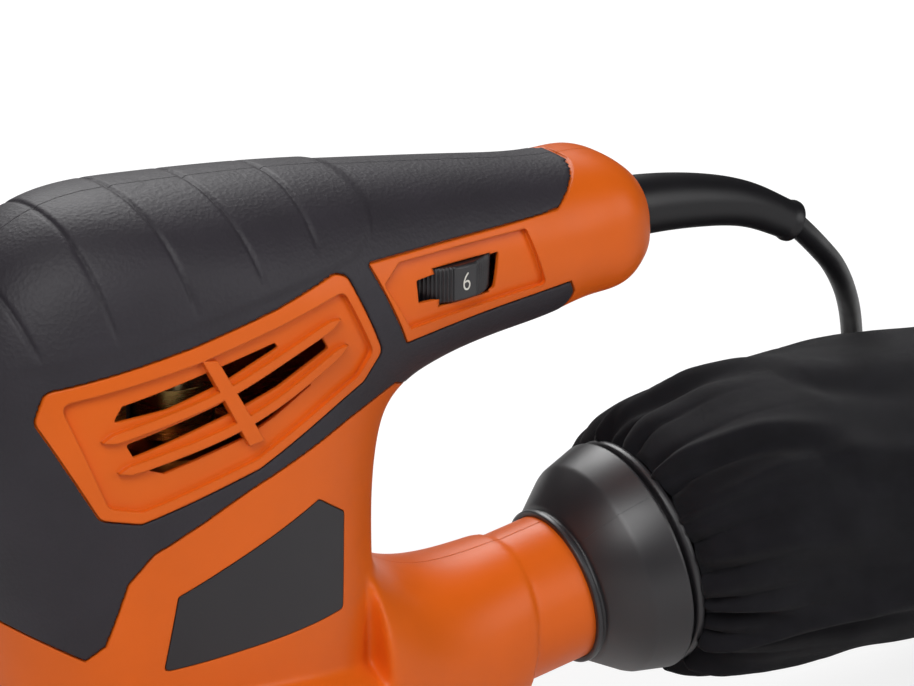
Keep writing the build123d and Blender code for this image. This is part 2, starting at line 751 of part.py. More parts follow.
def cooling_fan():
    """Fan that draws air in through the vents."""
    disc_top = cooling_fan_level + blade_thickness
    fan = cylinder(fan_hub_diameter / 2, cooling_fan_level, cooling_fan_level + cooling_fan_height, motor_x)
    fan += cylinder(cooling_fan_diameter / 2, cooling_fan_level, disc_top, motor_x)
    inner = fan_hub_diameter / 2 - 1
    fan = fan.fuse(*blades(cooling_fan_blades, inner, cooling_fan_diameter / 2 - 0.5, disc_top,
                           cooling_fan_level + cooling_fan_height))
    return fan - cylinder(shaft_diameter / 2, 0, far, motor_x)


def dust_fan():
    """Fan that blows the dust into the outlet."""
    disc_top = eccentric_top + dust_fan_disc
    fan = ring(dust_fan_diameter / 2, eccentric_hub_diameter / 2, eccentric_top, disc_top, motor_x)
    return fan.fuse(*blades(dust_fan_blades, dust_fan_inner_diameter / 2, dust_fan_diameter / 2 - 0.5,
                            eccentric_top - dust_fan_depth, eccentric_top))


def eccentric():
    """Drive body: round outside on the motor axis, its bearing bore on the pad's axis."""
    drive = cylinder(eccentric_diameter / 2, eccentric_bottom, eccentric_top, motor_x)
    drive += cylinder(eccentric_hub_diameter / 2, eccentric_top, eccentric_top + eccentric_hub_height, motor_x)
    low = eccentric_bottom + counterweight_rise
    weight = cylinder(counterweight_diameter / 2, low, low + counterweight_height, motor_x)
    drive += weight & box(-far, motor_x, -far, far, 0, far)
    drive -= cylinder(pad_bearing_diameter / 2, 0, pad_bearing_top)
    return drive - cylinder(shaft_diameter / 2, 0, far, motor_x)


# ---------------------------------------------------------------- pad
def dust_holes():
    """Cutters for the ring of dust holes."""
    reach = dust_hole_circle / 2
    holes = []
    for step in range(dust_hole_count):
        angle = 2 * pi * (step + 0.5) / dust_hole_count
        holes.append(cylinder(dust_hole_diameter / 2, -1, plate_top + 1, reach * cos(angle), reach * sin(angle)))
    return holes


def sanding_disc():
    """Abrasive disc, its face on the floor."""
    return cylinder(disc_diameter / 2, 0, disc_thickness).cut(*dust_holes())


def hook_layer():
    """Hook layer that holds the disc."""
    return ring(hook_diameter / 2, plate_hub_diameter / 2, disc_thickness, foam_bottom).cut(*dust_holes())


def backing_pad():
    """Soft pad that narrows towards its plate."""
    inner = plate_hub_diameter / 2
    outline = [(inner, foam_bottom), (hook_diameter / 2, foam_bottom), (hook_diameter / 2, foam_bottom + 2),
               (foam_top_diameter / 2, plate_bottom), (inner, plate_bottom)]
    face = make_face(Polyline([(x, 0, z) for x, z in outline], close=True))
    return revolve(face, Axis.Z).cut(*dust_holes())


def pad_plate():
    """Stiff plate on top of the soft pad, with a hub for the bolt."""
    plate = cylinder(plate_diameter / 2, plate_bottom, plate_top)
    plate += cylinder(plate_hub_diameter / 2, plate_bottom - plate_hub_depth, plate_bottom)
    return plate.cut(cylinder(bolt_diameter / 2 + seat_play, 0, far), *dust_holes())


def pad_bolt():
    """Bolt that holds the pad on its spindle."""
    seat = plate_bottom - plate_hub_depth
    bolt = cylinder(bolt_head_diameter / 2, seat - bolt_head_height, seat)
    bolt += cylinder(bolt_diameter / 2, seat, seat + bolt_reach)
    socket = extrude(Pos(0, 0, seat - bolt_head_height) * RegularPolygon(2.9, 6), 2)
    return bolt - socket


def pad_spindle():
    """Spindle of the pad, with its flange on the plate."""
    spindle = cylinder(spindle_flange_diameter / 2, plate_top, flange_top)
    spindle += cylinder(spindle_diameter / 2, flange_top, pad_bearing_top)
    seat = plate_bottom - plate_hub_depth
    return spindle - cylinder(bolt_diameter / 2, 0, seat + bolt_reach)


def pad_seal():
    """Rubber ring in the skirt's mouth, just above the pad."""
    bottom = plate_bottom + seal_gap
    return ring(skirt_inner_radius, skirt_inner_radius - seal_width, bottom, bottom + seal_height, motor_x)


# ---------------------------------------------------------------- dust bag
def bag_adapter():
    """Cone that pushes on the outlet tube, with the sleeve that the bag is tied to."""
    bore = tube_radius + running_fit
    inner = sleeve_radius - adapter_wall
    stop = tube_insertion + clearance
    return outlet_turned([
        (0, bore), (0, lip_radius), (lip_width, lip_radius), (lip_width, groove_radius),
        (cone_start, groove_radius), (cone_end, cone_radius), (band_end, band_radius),
        (band_end + 0.5, sleeve_radius), (sleeve_end, sleeve_radius), (sleeve_end, inner),
        (stop + stop_width, inner), (stop + stop_width, bore - 2), (stop, bore - 2), (stop, bore),
    ])


def bag_clamp():
    """Ring that grips the bag's neck on the sleeve."""
    return outlet_turned([
        (clamp_start, sleeve_radius), (clamp_start, clamp_radius), (clamp_end, clamp_radius),
        (clamp_end, sleeve_radius),
    ])


# Sections of the bag past its neck: X, middle height, half height, half width
bag_sections = [
    (152.0, 56.6, 37.5, 39.0),
    (172.0, 56.0, 39.2, 43.5),
    (196.0, 55.0, 39.6, 46.0),
    (224.0, 54.0, 40.0, 47.0),
    (252.0, 52.6, 39.4, 46.5),
    (278.0, 51.2, 36.0, 44.0),
    (297.0, 50.0, 27.5, 40.0),
    (308.0, 49.3, 15.0, 36.0),
]
bag_end = bag_sections[-1][0]


def dust_bag():
    """Cloth bag, as one closed form, seated on the adapter's sleeve."""
    tilt = radians(tube_tilt)
    down = Vector(sin(tilt), 0, -cos(tilt))
    rings = [half_ring(along_outlet(clamp_end + 0.2), down, 27.0, 27.5, 2.0),
             half_ring(along_outlet(33.0), down, 33.0, 33.5, 2.05)]
    for x, middle, half_height, half_width in bag_sections:
        rings.append(half_ring(Vector(x, 0, middle), Vector(0, 0, -1), half_height, half_width, 2.3))
    half = half_loft(rings)
    bag = half + mirror(half, Plane.XZ)
    return bag - outlet_bar(sleeve_radius, 0, sleeve_end)


def zip_parts():
    """Zip across the bag's far end: two tapes' width of teeth, and its slider."""
    x, middle, half_height, half_width = bag_sections[-1]
    tape = box(x, x + 1.2, -half_width + 8, half_width - 8, middle - 6, middle + 6)
    slider = box(x + 1.2, x + 4.2, -half_width + 10, -half_width + 18, middle - 3, middle + 3)
    slider += box(x + 4.2, x + 5.4, -half_width + 12, -half_width + 16, middle - 16, middle + 2)
    return tape, slider


# ---------------------------------------------------------------- cord
# Route of the free cord from the boot's end to the coil, chosen by hand
cord_route = [
    (174.6, 0, 131.5), (186, 2.5, 122), (198, 8.5, 113.5), (210, 19, 106), (221.5, 33, 97), (232, 48, 84),
    (241, 63.5, 67.5), (249.5, 79, 48), (262.5, 93.5, 28.5), (264.7, 115.8, 12), (249.1, 137.1, 2.9),
    (225.4, 147.4, 2.9), (212.9, 148.6, 2.9), (205, 147.8, 2.9),
]
tail_route = [(205, 76.2, 14.5), (217, 76, 13.4), (229, 76.4, 10.2), (240, 76, 7.8), (251, 76.2, 6.9)]


def cord_tube(route, name):
    """Round tube along straight runs joined by tangent arcs."""
    points = [Vector(*point) for point in route]
    radii = []
    for before, here, after in zip(points, points[1:], points[2:]):
        turn = radians((here - before).get_angle(after - here))
        shorter = min((here - before).length, (after - here).length)
        radii.append(0.45 * shorter / tan(turn / 2))
    path = FilletPolyline(*points, radius=radii)
    start = Plane(origin=points[0], z_dir=points[1] - points[0])
    tube = sweep(start * Circle(cord_diameter / 2), path=path)
    print(name, "radii", [round(radius) for radius in radii], "length", round(path.length, 1),
          "volume ratio", round(tube.volume / (path.length * pi * cord_diameter ** 2 / 4), 4))
    return tube


def cord_coil():
    """Outer shape of the neat coil."""
    reach = coil_turns_beside * cord_diameter / 2
    middle = coil_mean_diameter / 2
    return ring(middle + reach, middle - reach, 0, coil_layers * cord_diameter, coil_x, coil_y)


# The boot: places of its rings along the middle plane, X, Z and radius
boot_rings = [(124, cord_level, 7.5), (135, 143.6, 7.1), (147, 142, 6.5), (161.5, 138.1, 5.5), (171.5, 133.1, 4.9)]
boot_inner = handle_end - end_wall - boot_flange_thickness


def cable_boot():
    """Tapered strain relief with a neck and a flange inside the handle's end wall."""
    flange_end = handle_end - end_wall
    straight = Pos((boot_inner + boot_rings[0][0]) / 2, 0, cord_level) * Rot(0, 90, 0)
    boot = straight * Cylinder(boot_diameter / 2, boot_rings[0][0] - boot_inner)
    boot += (Pos(boot_inner + boot_flange_thickness / 2, 0, cord_level) * Rot(0, 90, 0)
             * Cylinder(boot_flange_diameter / 2, boot_flange_thickness))
    end = Vector(*cord_route[0])
    leave = (Vector(*cord_route[1]) - end).normalized()
    places = [Vector(x, 0, z) for x, z, radius in boot_rings] + [end]
    sizes = [radius for x, z, radius in boot_rings] + [boot_end_diameter / 2]
    rings = []
    for i, (place, radius) in enumerate(zip(places, sizes)):
        if i == 0:
            direction = Vector(1, 0, 0)
        elif i == len(places) - 1:
            direction = leave
        else:
            direction = places[i + 1] - places[i - 1]
        rings.append((Plane(origin=place, z_dir=direction) * Circle(radius)).wire())
    return boot + Solid.make_loft(rings)


def plug():
    """Flat two-pin plug lying on the floor, with its relief and pins."""
    rear = tail_route[-1][0]
    y = tail_route[-1][1]
    level = plug_thickness / 2
    front = rear + plug_relief_length + plug_length
    half = plug_width / 2
    outline = [(rear + plug_relief_length, y - 6), (rear + plug_relief_length, y + 6),
               (front - plug_length / 2, y + half), (front, y + half - 3), (front, y - half + 3),
               (front - plug_length / 2, y - half)]
    body_plate = extrude(make_face(Polyline(*outline, close=True)), plug_thickness)
    body_plate = fillet(body_plate.edges(), 1.5)
    relief = Pos(rear + plug_relief_length / 2, y, level) * Rot(0, -90, 0)
    body_plate += relief * Cone(5.5, cord_diameter / 2 + 1, plug_relief_length)
    pins = []
    for side in (-1, 1):
        place = Pos(front + pin_length / 2, y + side * pin_spacing / 2, level)
        pins.append(place * Rot(0, 90, 0) * Cylinder(pin_diameter / 2, pin_length))
    return body_plate, Compound(pins)


# ---------------------------------------------------------------- write the sub-parts
brush_holders, brushes, brush_springs = brush_parts()
clamp_bar, clamp_screws = cord_clamp()
zip_tape, zip_slider = zip_parts()
plug_body, plug_pins = plug()
save(housing_screws(), "housing_screws", "gray")
save(bearing_plate(), "bearing_plate", "silver")
save(bearing(shaft_diameter, lower_bearing_diameter, lower_bearing_level, lower_bearing_height, motor_x),
     "lower_bearing", "silver")
save(bearing(shaft_top_diameter, upper_bearing_diameter, upper_bearing_level, upper_bearing_height, motor_x),
     "upper_bearing", "silver")
save(stator_core(), "stator_core", "gray")
save(stator_windings(), "stator_windings", "brown")
save(brush_holders, "brush_holders", "gold")
save(brushes, "carbon_brushes", "black")
save(brush_springs, "brush_springs", "silver")
save(switch_body(), "switch_body", "black")
save(switch_bezel(), "switch_bezel", "black")
save(switch_rocker(), "switch_rocker", "red")
save(speed_dial(), "speed_dial", "black")
save(speed_control(), "speed_control", "white")
save(speed_board(), "speed_board", "green")
save(terminal_block(), "terminal_block", "white")
save(supply_cable(), "supply_cable", "black")
save(clamp_bar, "cord_clamp", "white")
save(clamp_screws, "clamp_screws", "silver")
save(internal_leads(), "internal_leads", "blue")
save(pad_seal(), "pad_seal", "black")
save(motor_shaft(), "motor_shaft", "silver")
save(armature_core(), "armature_core", "gray")
save(armature_windings(), "armature_windings", "brown")
save(ring(commutator_diameter / 2, shaft_diameter / 2, commutator_level, commutator_top, motor_x),
     "commutator", "gold")
save(cooling_fan(), "cooling_fan", "white")
save(dust_fan(), "dust_fan", "white")
save(eccentric(), "eccentric", "silver")
save(bearing(spindle_diameter, pad_bearing_diameter, eccentric_bottom, pad_bearing_height, 0), "pad_bearing", "silver")
save(pad_spindle(), "pad_spindle", "silver")
save(pad_bolt(), "pad_bolt", "silver")
save(pad_plate(), "pad_plate", "black")
save(backing_pad(), "backing_pad", "black")
save(hook_layer(), "hook_layer", "gray")
save(sanding_disc(), "sanding_disc", "brown")
save(bag_adapter(), "bag_adapter", "black")
save(bag_clamp(), "bag_clamp", "black")
save(dust_bag(), "dust_bag", "black")
save(zip_tape, "zip_tape", "black")
save(zip_slider, "zip_slider", "silver")
save(cable_boot(), "cable_boot", "black")
save(cord_tube(cord_route, "cord"), "mains_cord", "black")
save(cord_coil(), "cord_coil", "black")
save(cord_tube(tail_route, "tail"), "cord_tail", "black")
save(plug_body, "plug_body", "black")
save(plug_pins, "plug_pins", "silver")
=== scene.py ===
import json
from math import cos, pi, radians, sin, tau
import bmesh
import bpy
import numpy as np
from mathutils import Matrix, Vector, noise


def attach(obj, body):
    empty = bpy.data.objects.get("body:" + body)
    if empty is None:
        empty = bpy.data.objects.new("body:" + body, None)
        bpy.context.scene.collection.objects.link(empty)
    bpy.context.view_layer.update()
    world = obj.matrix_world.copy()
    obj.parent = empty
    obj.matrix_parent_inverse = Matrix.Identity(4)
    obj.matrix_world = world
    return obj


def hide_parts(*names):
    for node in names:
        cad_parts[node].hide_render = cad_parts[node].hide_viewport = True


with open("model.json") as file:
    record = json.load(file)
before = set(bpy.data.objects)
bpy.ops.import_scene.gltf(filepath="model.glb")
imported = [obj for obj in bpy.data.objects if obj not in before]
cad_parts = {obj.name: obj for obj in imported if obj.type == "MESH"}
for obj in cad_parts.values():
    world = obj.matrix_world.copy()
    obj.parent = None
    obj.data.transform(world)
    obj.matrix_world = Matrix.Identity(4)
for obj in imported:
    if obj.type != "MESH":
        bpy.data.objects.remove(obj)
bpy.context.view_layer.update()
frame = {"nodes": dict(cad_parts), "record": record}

MM = 0.001      # shapes are written in millimetres, the scene is in metres


def new_object(name, data):
    """New object in the scene."""
    obj = bpy.data.objects.new(name, data)
    bpy.context.scene.collection.objects.link(obj)
    return obj


def ease(values):
    """Smooth step from 0 to 1."""
    values = np.clip(values, 0, 1)
    return values * values * (3 - 2 * values)


# ---------------------------------------------------------------- camera
CAMERA_PLACE = (-0.4768, -0.8862, 0.4989)
CAMERA_AZIMUTH, CAMERA_ELEVATION = radians(32), radians(20)
CAMERA_LENS, CAMERA_SENSOR = 184.8, 36.0


def make_camera():
    """Long lens, from the left and front, above the tool."""
    data = bpy.data.cameras.new("camera")
    data.sensor_width = CAMERA_SENSOR
    data.lens = CAMERA_LENS
    data.clip_end = 20.0
    camera = new_object("camera", data)
    azimuth, elevation = CAMERA_AZIMUTH, CAMERA_ELEVATION
    look = Vector((sin(azimuth) * cos(elevation), cos(azimuth) * cos(elevation), -sin(elevation)))
    right = Vector((cos(azimuth), -sin(azimuth), 0))
    up = right.cross(look)
    turn = Matrix((right, up, -look)).transposed().to_4x4()
    camera.matrix_world = Matrix.Translation(CAMERA_PLACE) @ turn
    bpy.context.scene.camera = camera


make_camera()

# ---------------------------------------------------------------- material helpers
MATERIALS = {}


class Nodes:
    """Short way to build a node tree for one material."""

    def __init__(self, name):
        material = bpy.data.materials.new(name)
        material.use_nodes = True
        MATERIALS[name] = material
        self.tree = material.node_tree
        self.shader = self.tree.nodes["Principled BSDF"]
        self.coords = self.add("ShaderNodeTexCoord").outputs["Object"]

    def add(self, kind, **settings):
        node = self.tree.nodes.new(kind)
        for key, value in settings.items():
            setattr(node, key, value)
        return node

    def link(self, source, target):
        self.tree.links.new(source, target)

    def scaled(self, scale):
        mapping = self.add("ShaderNodeMapping")
        mapping.inputs["Scale"].default_value = scale if isinstance(scale, tuple) else (scale,) * 3
        self.link(self.coords, mapping.inputs["Vector"])
        return mapping.outputs["Vector"]

    def noise(self, scale, detail=3.0, roughness=0.5):
        node = self.add("ShaderNodeTexNoise")
        node.inputs["Scale"].default_value = 1.0
        node.inputs["Detail"].default_value = detail
        node.inputs["Roughness"].default_value = roughness
        self.link(self.scaled(scale), node.inputs["Vector"])
        return node.outputs["Fac"]

    def cells(self, scale, feature="F1"):
        node = self.add("ShaderNodeTexVoronoi", feature=feature)
        node.inputs["Scale"].default_value = 1.0
        self.link(self.scaled(scale), node.inputs["Vector"])
        return node.outputs["Distance"]

    def waves(self, scale, direction):
        node = self.add("ShaderNodeTexWave", wave_type="BANDS", bands_direction=direction)
        node.inputs["Scale"].default_value = 1.0
        node.inputs["Distortion"].default_value = 0.4
        node.inputs["Detail"].default_value = 1.0
        self.link(self.scaled(scale), node.inputs["Vector"])
        return node.outputs["Fac"]

    def spread(self, source, low, high):
        """Maps a 0 to 1 value to another range."""
        node = self.add("ShaderNodeMapRange")
        node.inputs["To Min"].default_value = low
        node.inputs["To Max"].default_value = high
        self.link(source, node.inputs["Value"])
        return node.outputs["Result"]

    def total(self, first, second, how="ADD"):
        node = self.add("ShaderNodeMath", operation=how)
        self.link(first, node.inputs[0])
        self.link(second, node.inputs[1])
        return node.outputs[0]

    def colours(self, source, dark, light):
        ramp = self.add("ShaderNodeValToRGB")
        ramp.color_ramp.elements[0].position = 0.3
        ramp.color_ramp.elements[1].position = 0.7
        ramp.color_ramp.elements[0].color = (*dark, 1)
        ramp.color_ramp.elements[1].color = (*light, 1)
        self.link(source, ramp.inputs["Fac"])
        self.link(ramp.outputs["Color"], self.shader.inputs["Base Color"])

    def bump(self, height, strength, distance, edge=0.0):
        node = self.add("ShaderNodeBump")
        node.inputs["Strength"].default_value = strength
        node.inputs["Distance"].default_value = distance
        self.link(height, node.inputs["Height"])
        if edge:
            bevel = self.add("ShaderNodeBevel", samples=4)
            bevel.inputs["Radius"].default_value = edge
            self.link(bevel.outputs["Normal"], node.inputs["Normal"])
        self.link(node.outputs["Normal"], self.shader.inputs["Normal"])

    def roughness(self, source, low, high):
        self.link(self.spread(source, low, high), self.shader.inputs["Roughness"])


def tint(colour, factor):
    """Lighter or darker shade of a colour."""
    return tuple(min(1.0, channel * factor) for channel in colour)


def moulded(name, colour, rough=(0.36, 0.46), grain=2200, depth=0.25, edge=0.0006, specular=0.5):
    """Injection-moulded plastic with a fine spark-eroded grain."""
    nodes = Nodes(name)
    nodes.shader.inputs["Specular IOR Level"].default_value = specular
    nodes.colours(nodes.noise(45), tint(colour, 0.95), tint(colour, 1.04))
    nodes.roughness(nodes.noise(160), *rough)
    nodes.bump(nodes.noise(grain, detail=2), depth, distance=0.00006, edge=edge)


def rubber(name, colour, grain=900, depth=0.5, rough=(0.5, 0.62), edge=0.0007):
    """Soft overmould with a leather-like grain."""
    nodes = Nodes(name)
    nodes.shader.inputs["Specular IOR Level"].default_value = 0.4
    cells = nodes.cells(grain)
    fine = nodes.noise(grain * 1.7, detail=3)
    nodes.colours(nodes.noise(60, detail=4), tint(colour, 0.88), tint(colour, 1.12))
    nodes.roughness(fine, *rough)
    nodes.bump(nodes.total(cells, fine), depth, distance=0.00012, edge=edge)


def metal(name, colour, rough=(0.28, 0.42), stretch=(300, 300, 2600)):
    """Machined metal with fine turning marks."""
    nodes = Nodes(name)
    nodes.shader.inputs["Metallic"].default_value = 1.0
    nodes.colours(nodes.noise(90), tint(colour, 0.9), tint(colour, 1.05))
    nodes.roughness(nodes.noise(stretch, detail=2), *rough)
    nodes.bump(nodes.noise(stretch, detail=2), 0.2, distance=0.00003, edge=0.0002)


def cloth(name, colour, thread=3400, depth=0.5, sheen=0.06):
    """Plain weave with a soft sheen."""
    nodes = Nodes(name)
    nodes.shader.inputs["Sheen Weight"].default_value = sheen
    nodes.shader.inputs["Sheen Roughness"].default_value = 0.5
    nodes.shader.inputs["Specular IOR Level"].default_value = 0.15
    weave = nodes.total(nodes.waves(thread, "X"), nodes.waves(thread, "Z"), "MULTIPLY")
    nodes.colours(nodes.noise(120, detail=5), tint(colour, 0.8), tint(colour, 1.2))
    nodes.roughness(nodes.noise(400), 0.78, 0.95)
    nodes.bump(nodes.total(weave, nodes.noise(260, detail=4)), depth, distance=0.00015)


def granular(name, colour, scale, depth, rough=(0.8, 0.95)):
    """Foam or abrasive, with a cell or grit pattern."""
    nodes = Nodes(name)
    cells = nodes.cells(scale)
    nodes.colours(cells, tint(colour, 0.7), tint(colour, 1.25))
    nodes.roughness(nodes.noise(scale), *rough)
    nodes.bump(cells, depth, distance=0.0003)


ORANGE = (0.72, 0.121, 0.006)


def make_materials():
    """One material for each of the record's slots."""
    moulded("shell_plastic", ORANGE, specular=0.28)
    rubber("grip_rubber", (0.022, 0.0185, 0.0245))
    moulded("label_film", (0.0165, 0.014, 0.017), (0.3, 0.4), grain=1500, depth=0.1, edge=0.0003)
    metal("steel", (0.55, 0.55, 0.57))
    metal("zinc_steel", (0.60, 0.60, 0.56), (0.35, 0.5))
    metal("cast_aluminium", (0.58, 0.58, 0.60), (0.45, 0.6), stretch=(700, 700, 700))
    metal("laminations", (0.16, 0.16, 0.18), (0.4, 0.6), stretch=(60, 60, 5200))
    metal("copper_wire", (0.55, 0.20, 0.07), (0.3, 0.4), stretch=(60, 60, 3200))
    metal("brass", (0.70, 0.47, 0.16), (0.22, 0.34))
    moulded("carbon", (0.02, 0.02, 0.02), (0.5, 0.6))
    moulded("black_plastic", (0.018, 0.018, 0.020), (0.32, 0.42))
    moulded("gloss_black", (0.0135, 0.012, 0.0145), (0.36, 0.44), grain=1200, depth=0.12, specular=0.75)
    moulded("white_plastic", (0.68, 0.66, 0.60))
    moulded("rocker_plastic", (0.014, 0.014, 0.014), (0.16, 0.22), grain=1200, depth=0.08)
    moulded("board", (0.01, 0.09, 0.035), (0.3, 0.4), grain=900, depth=0.2)
    moulded("lead_sheath", (0.008, 0.0075, 0.009), grain=1400, depth=0.2, specular=0.4)
    moulded("wire_sheath", (0.02, 0.05, 0.35))
    granular("pad_foam", (0.02, 0.02, 0.02), 1500, 0.6)
    granular("hook_fabric", (0.35, 0.35, 0.33), 2600, 0.8)
    granular("abrasive", (0.22, 0.07, 0.025), 3000, 0.8)
    cloth("bag_cloth", (0.0078, 0.0074, 0.0098))


make_materials()
for part in frame["record"]["subparts"]:
    node = frame["nodes"][part["node"]]
    node.data.materials.clear()
    node.data.materials.append(MATERIALS[part["material_slot"]])


def dress(obj, slot, body, *nodes):
    """Gives a piece its material, its body and the CAD nodes that it stands for."""
    obj.data.materials.clear()
    obj.data.materials.append(MATERIALS[slot])
    if nodes:
        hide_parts(*nodes)
    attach(obj, body)
    return obj


# ---------------------------------------------------------------- cord
CORD_DIAMETER = 5.8
CORD_ROUTE = [
    (174.6, 0, 131.5), (180.9, 3, 126.4), (188.4, 8, 120.4), (197.4, 14, 112.9), (208.3, 24, 102.7),
    (219.4, 36, 91.9), (229.7, 48, 80.7), (239.5, 60, 67.5), (248, 72, 51.5), (258, 84, 34), (269.5, 98, 17),
    (269.5, 116, 6.5), (257.3, 129.5, 2.9), (237.5, 139.2, 2.9), (222.4, 140.2, 2.9),
]
TAIL_ROUTE = [(223, 68.5, 13.4), (233, 71.5, 10.2), (242, 74.8, 7.8), (251, 76.2, 6.9)]
COIL_CENTRE = (213.2, 103.8)
COIL_TURNS = [  # radius and height of each turn; the last is half a turn
    (35.8, 2.9), (30.0, 2.9), (24.2, 2.9), (24.2, 8.7), (30.0, 8.7), (35.8, 8.7),
    (30.0, 14.5), (24.2, 14.5), (35.8, 14.5),
]
STEPS_PER_TURN = 20
TURN_LEVEL = 0.7        # share of a turn that it keeps its own place


def coil_points():
    """Turns of the neat coil, each moving to the next one's place over its last part."""
    points = []
    for turn, (radius, level) in enumerate(COIL_TURNS):
        next_radius, next_level = COIL_TURNS[min(turn + 1, len(COIL_TURNS) - 1)]
        over = CORD_DIAMETER if next_radius - radius > CORD_DIAMETER * 1.5 else 0
        steps = STEPS_PER_TURN // 2 if turn == len(COIL_TURNS) - 1 else STEPS_PER_TURN
        for step in range(steps):
            share = max(0.0, (step / STEPS_PER_TURN - TURN_LEVEL) / (1 - TURN_LEVEL))
            moved = ease(share)
            reach = (radius + (next_radius - radius) * moved) / cos(pi / STEPS_PER_TURN)
            angle = pi / 2 + tau * step / STEPS_PER_TURN
            lift = level + (next_level - level) * moved + over * sin(pi * share)
            points.append((COIL_CENTRE[0] + reach * cos(angle), COIL_CENTRE[1] + reach * sin(angle), lift))
    radius, level = COIL_TURNS[-1]
    points.append((COIL_CENTRE[0], COIL_CENTRE[1] - radius, level))
    return points


def make_cord():
    """Mains cord from the boot's end through the coil to the plug, as one spline."""
    route = CORD_ROUTE + coil_points() + TAIL_ROUTE
    curve = bpy.data.curves.new("cord", "CURVE")
    curve.dimensions = "3D"
    spline = curve.splines.new("NURBS")
    spline.points.add(len(route) - 1)
    for point, place in zip(spline.points, route):
        point.co = (*(value * MM for value in place), 1)
    spline.order_u = 3
    spline.use_endpoint_u = True
    spline.resolution_u = 6
    curve.bevel_depth = CORD_DIAMETER * MM / 2
    curve.bevel_resolution = 6
    curve.use_fill_caps = True
    cord = new_object("cord", curve)
    dress(cord, "lead_sheath", "housing", "mains_cord", "cord_coil", "cord_tail")


make_cord()


# ---------------------------------------------------------------- mesh helpers
def make_mesh(name, points, faces):
    """Object from points in millimetres."""
    mesh = bpy.data.meshes.new(name)
    mesh.from_pydata([tuple(float(value) * MM for value in point) for point in points], [], faces)
    mesh.validate()
    return new_object(name, mesh)


def closed_loft(name, rings):
    """Closed solid through closed rings of equally many points."""
    rings = np.asarray(rings, float)
    count, size = rings.shape[:2]
    faces = [tuple(range(size))[::-1], tuple(range((count - 1) * size, count * size))]
    for i in range(count - 1):
        for j in range(size):
            k = (j + 1) % size
            faces.append((i * size + j, i * size + k, (i + 1) * size + k, (i + 1) * size + j))
    obj = make_mesh(name, rings.reshape(-1, 3), faces)
    return outward(obj)


def outward(obj):
    """Turns all faces outwards."""
    mesh = bmesh.new()
    mesh.from_mesh(obj.data)
    bmesh.ops.recalc_face_normals(mesh, faces=mesh.faces)
    mesh.to_mesh(obj.data)
    mesh.free()
    return obj


def prism(name, outline, corner=0.0, y0=-200.0, y1=200.0):
    """Prism across the tool, from an outline in X and Z, with rounded corners."""
    points = rounded(outline, corner) if corner else outline
    count = len(points)
    places = [(x, y0, z) for x, z in points] + [(x, y1, z) for x, z in points]
    faces = [tuple(range(count)), tuple(range(count, 2 * count))[::-1]]
    faces += [(i, (i + 1) % count, (i + 1) % count + count, i + count) for i in range(count)]
    return outward(make_mesh(name, places, faces))


def rounded(outline, radius, steps=6):
    """Outline with each corner cut to an arc, as far as its two sides allow."""
    result = []
    points = [np.array(point, float) for point in outline]
    for before, here, after in zip(points[-1:] + points[:-1], points, points[1:] + points[:1]):
        back, ahead = before - here, after - here
        one, two = back / np.linalg.norm(back), ahead / np.linalg.norm(ahead)
        half_turn = np.arccos(np.clip(one @ two, -1, 1)) / 2
        cut = min(radius / np.tan(half_turn), 0.45 * np.linalg.norm(back), 0.45 * np.linalg.norm(ahead))
        start, end = here + one * cut, here + two * cut
        for step in range(steps + 1):
            t = step / steps
            result.append(tuple((1 - t) ** 2 * start + 2 * t * (1 - t) * here + t * t * end))
    return result


def grown(outline, amount):
    """Outline moved outwards by an amount (inwards if negative)."""
    points = [np.array(point, float) for point in outline]
    area = sum(a[0] * b[1] - a[1] * b[0] for a, b in zip(points, points[1:] + points[:1]))
    sign = 1 if area > 0 else -1
    result = []
    for before, here, after in zip(points[-1:] + points[:-1], points, points[1:] + points[:1]):
        one = (here - before) / np.linalg.norm(here - before)
        two = (after - here) / np.linalg.norm(after - here)
        normal = np.array([one[1] + two[1], -one[0] - two[0]]) * sign
        normal /= np.linalg.norm(normal)
        spread = max(0.4, float(normal @ (np.array([one[1], -one[0]]) * sign)))
        result.append(tuple(here + normal * amount / spread))
    return result


def block(name, x0, x1, y0, y1, z0, z1):
    """Box between two corners."""
    return prism(name, [(x0, z0), (x1, z0), (x1, z1), (x0, z1)], 0.0, y0, y1)


def applied(obj):
    """Puts the result of an object's modifiers into its mesh."""
    graph = bpy.context.evaluated_depsgraph_get()
    mesh = bpy.data.meshes.new_from_object(obj.evaluated_get(graph))
    obj.modifiers.clear()
    obj.data = mesh
    return obj


def discard(*objs):
    """Deletes objects."""
    for obj in objs:
        bpy.data.objects.remove(obj, do_unlink=True)


def combine(obj, how, *tools):
    """Adds, cuts or intersects an object with others, and deletes those."""
    for tool in tools:
        modifier = obj.modifiers.new("combine", "BOOLEAN")
        modifier.operation = how
        modifier.solver = "MANIFOLD"
        modifier.object = tool
        applied(obj)
    discard(*tools)
    return obj


def smoothed(obj, passes, group=""):
    """Relaxes a mesh, or only a vertex group of it."""
    modifier = obj.modifiers.new("soften", "SMOOTH")
    modifier.factor = 0.5
    modifier.iterations = passes
    modifier.vertex_group = group
    return applied(obj)


def remeshed(obj, size, passes):
    """Even mesh with softened edges."""
    modifier = obj.modifiers.new("remesh", "REMESH")
    modifier.mode = "VOXEL"
    modifier.voxel_size = size * MM
    applied(obj)
    return smoothed(obj, passes)


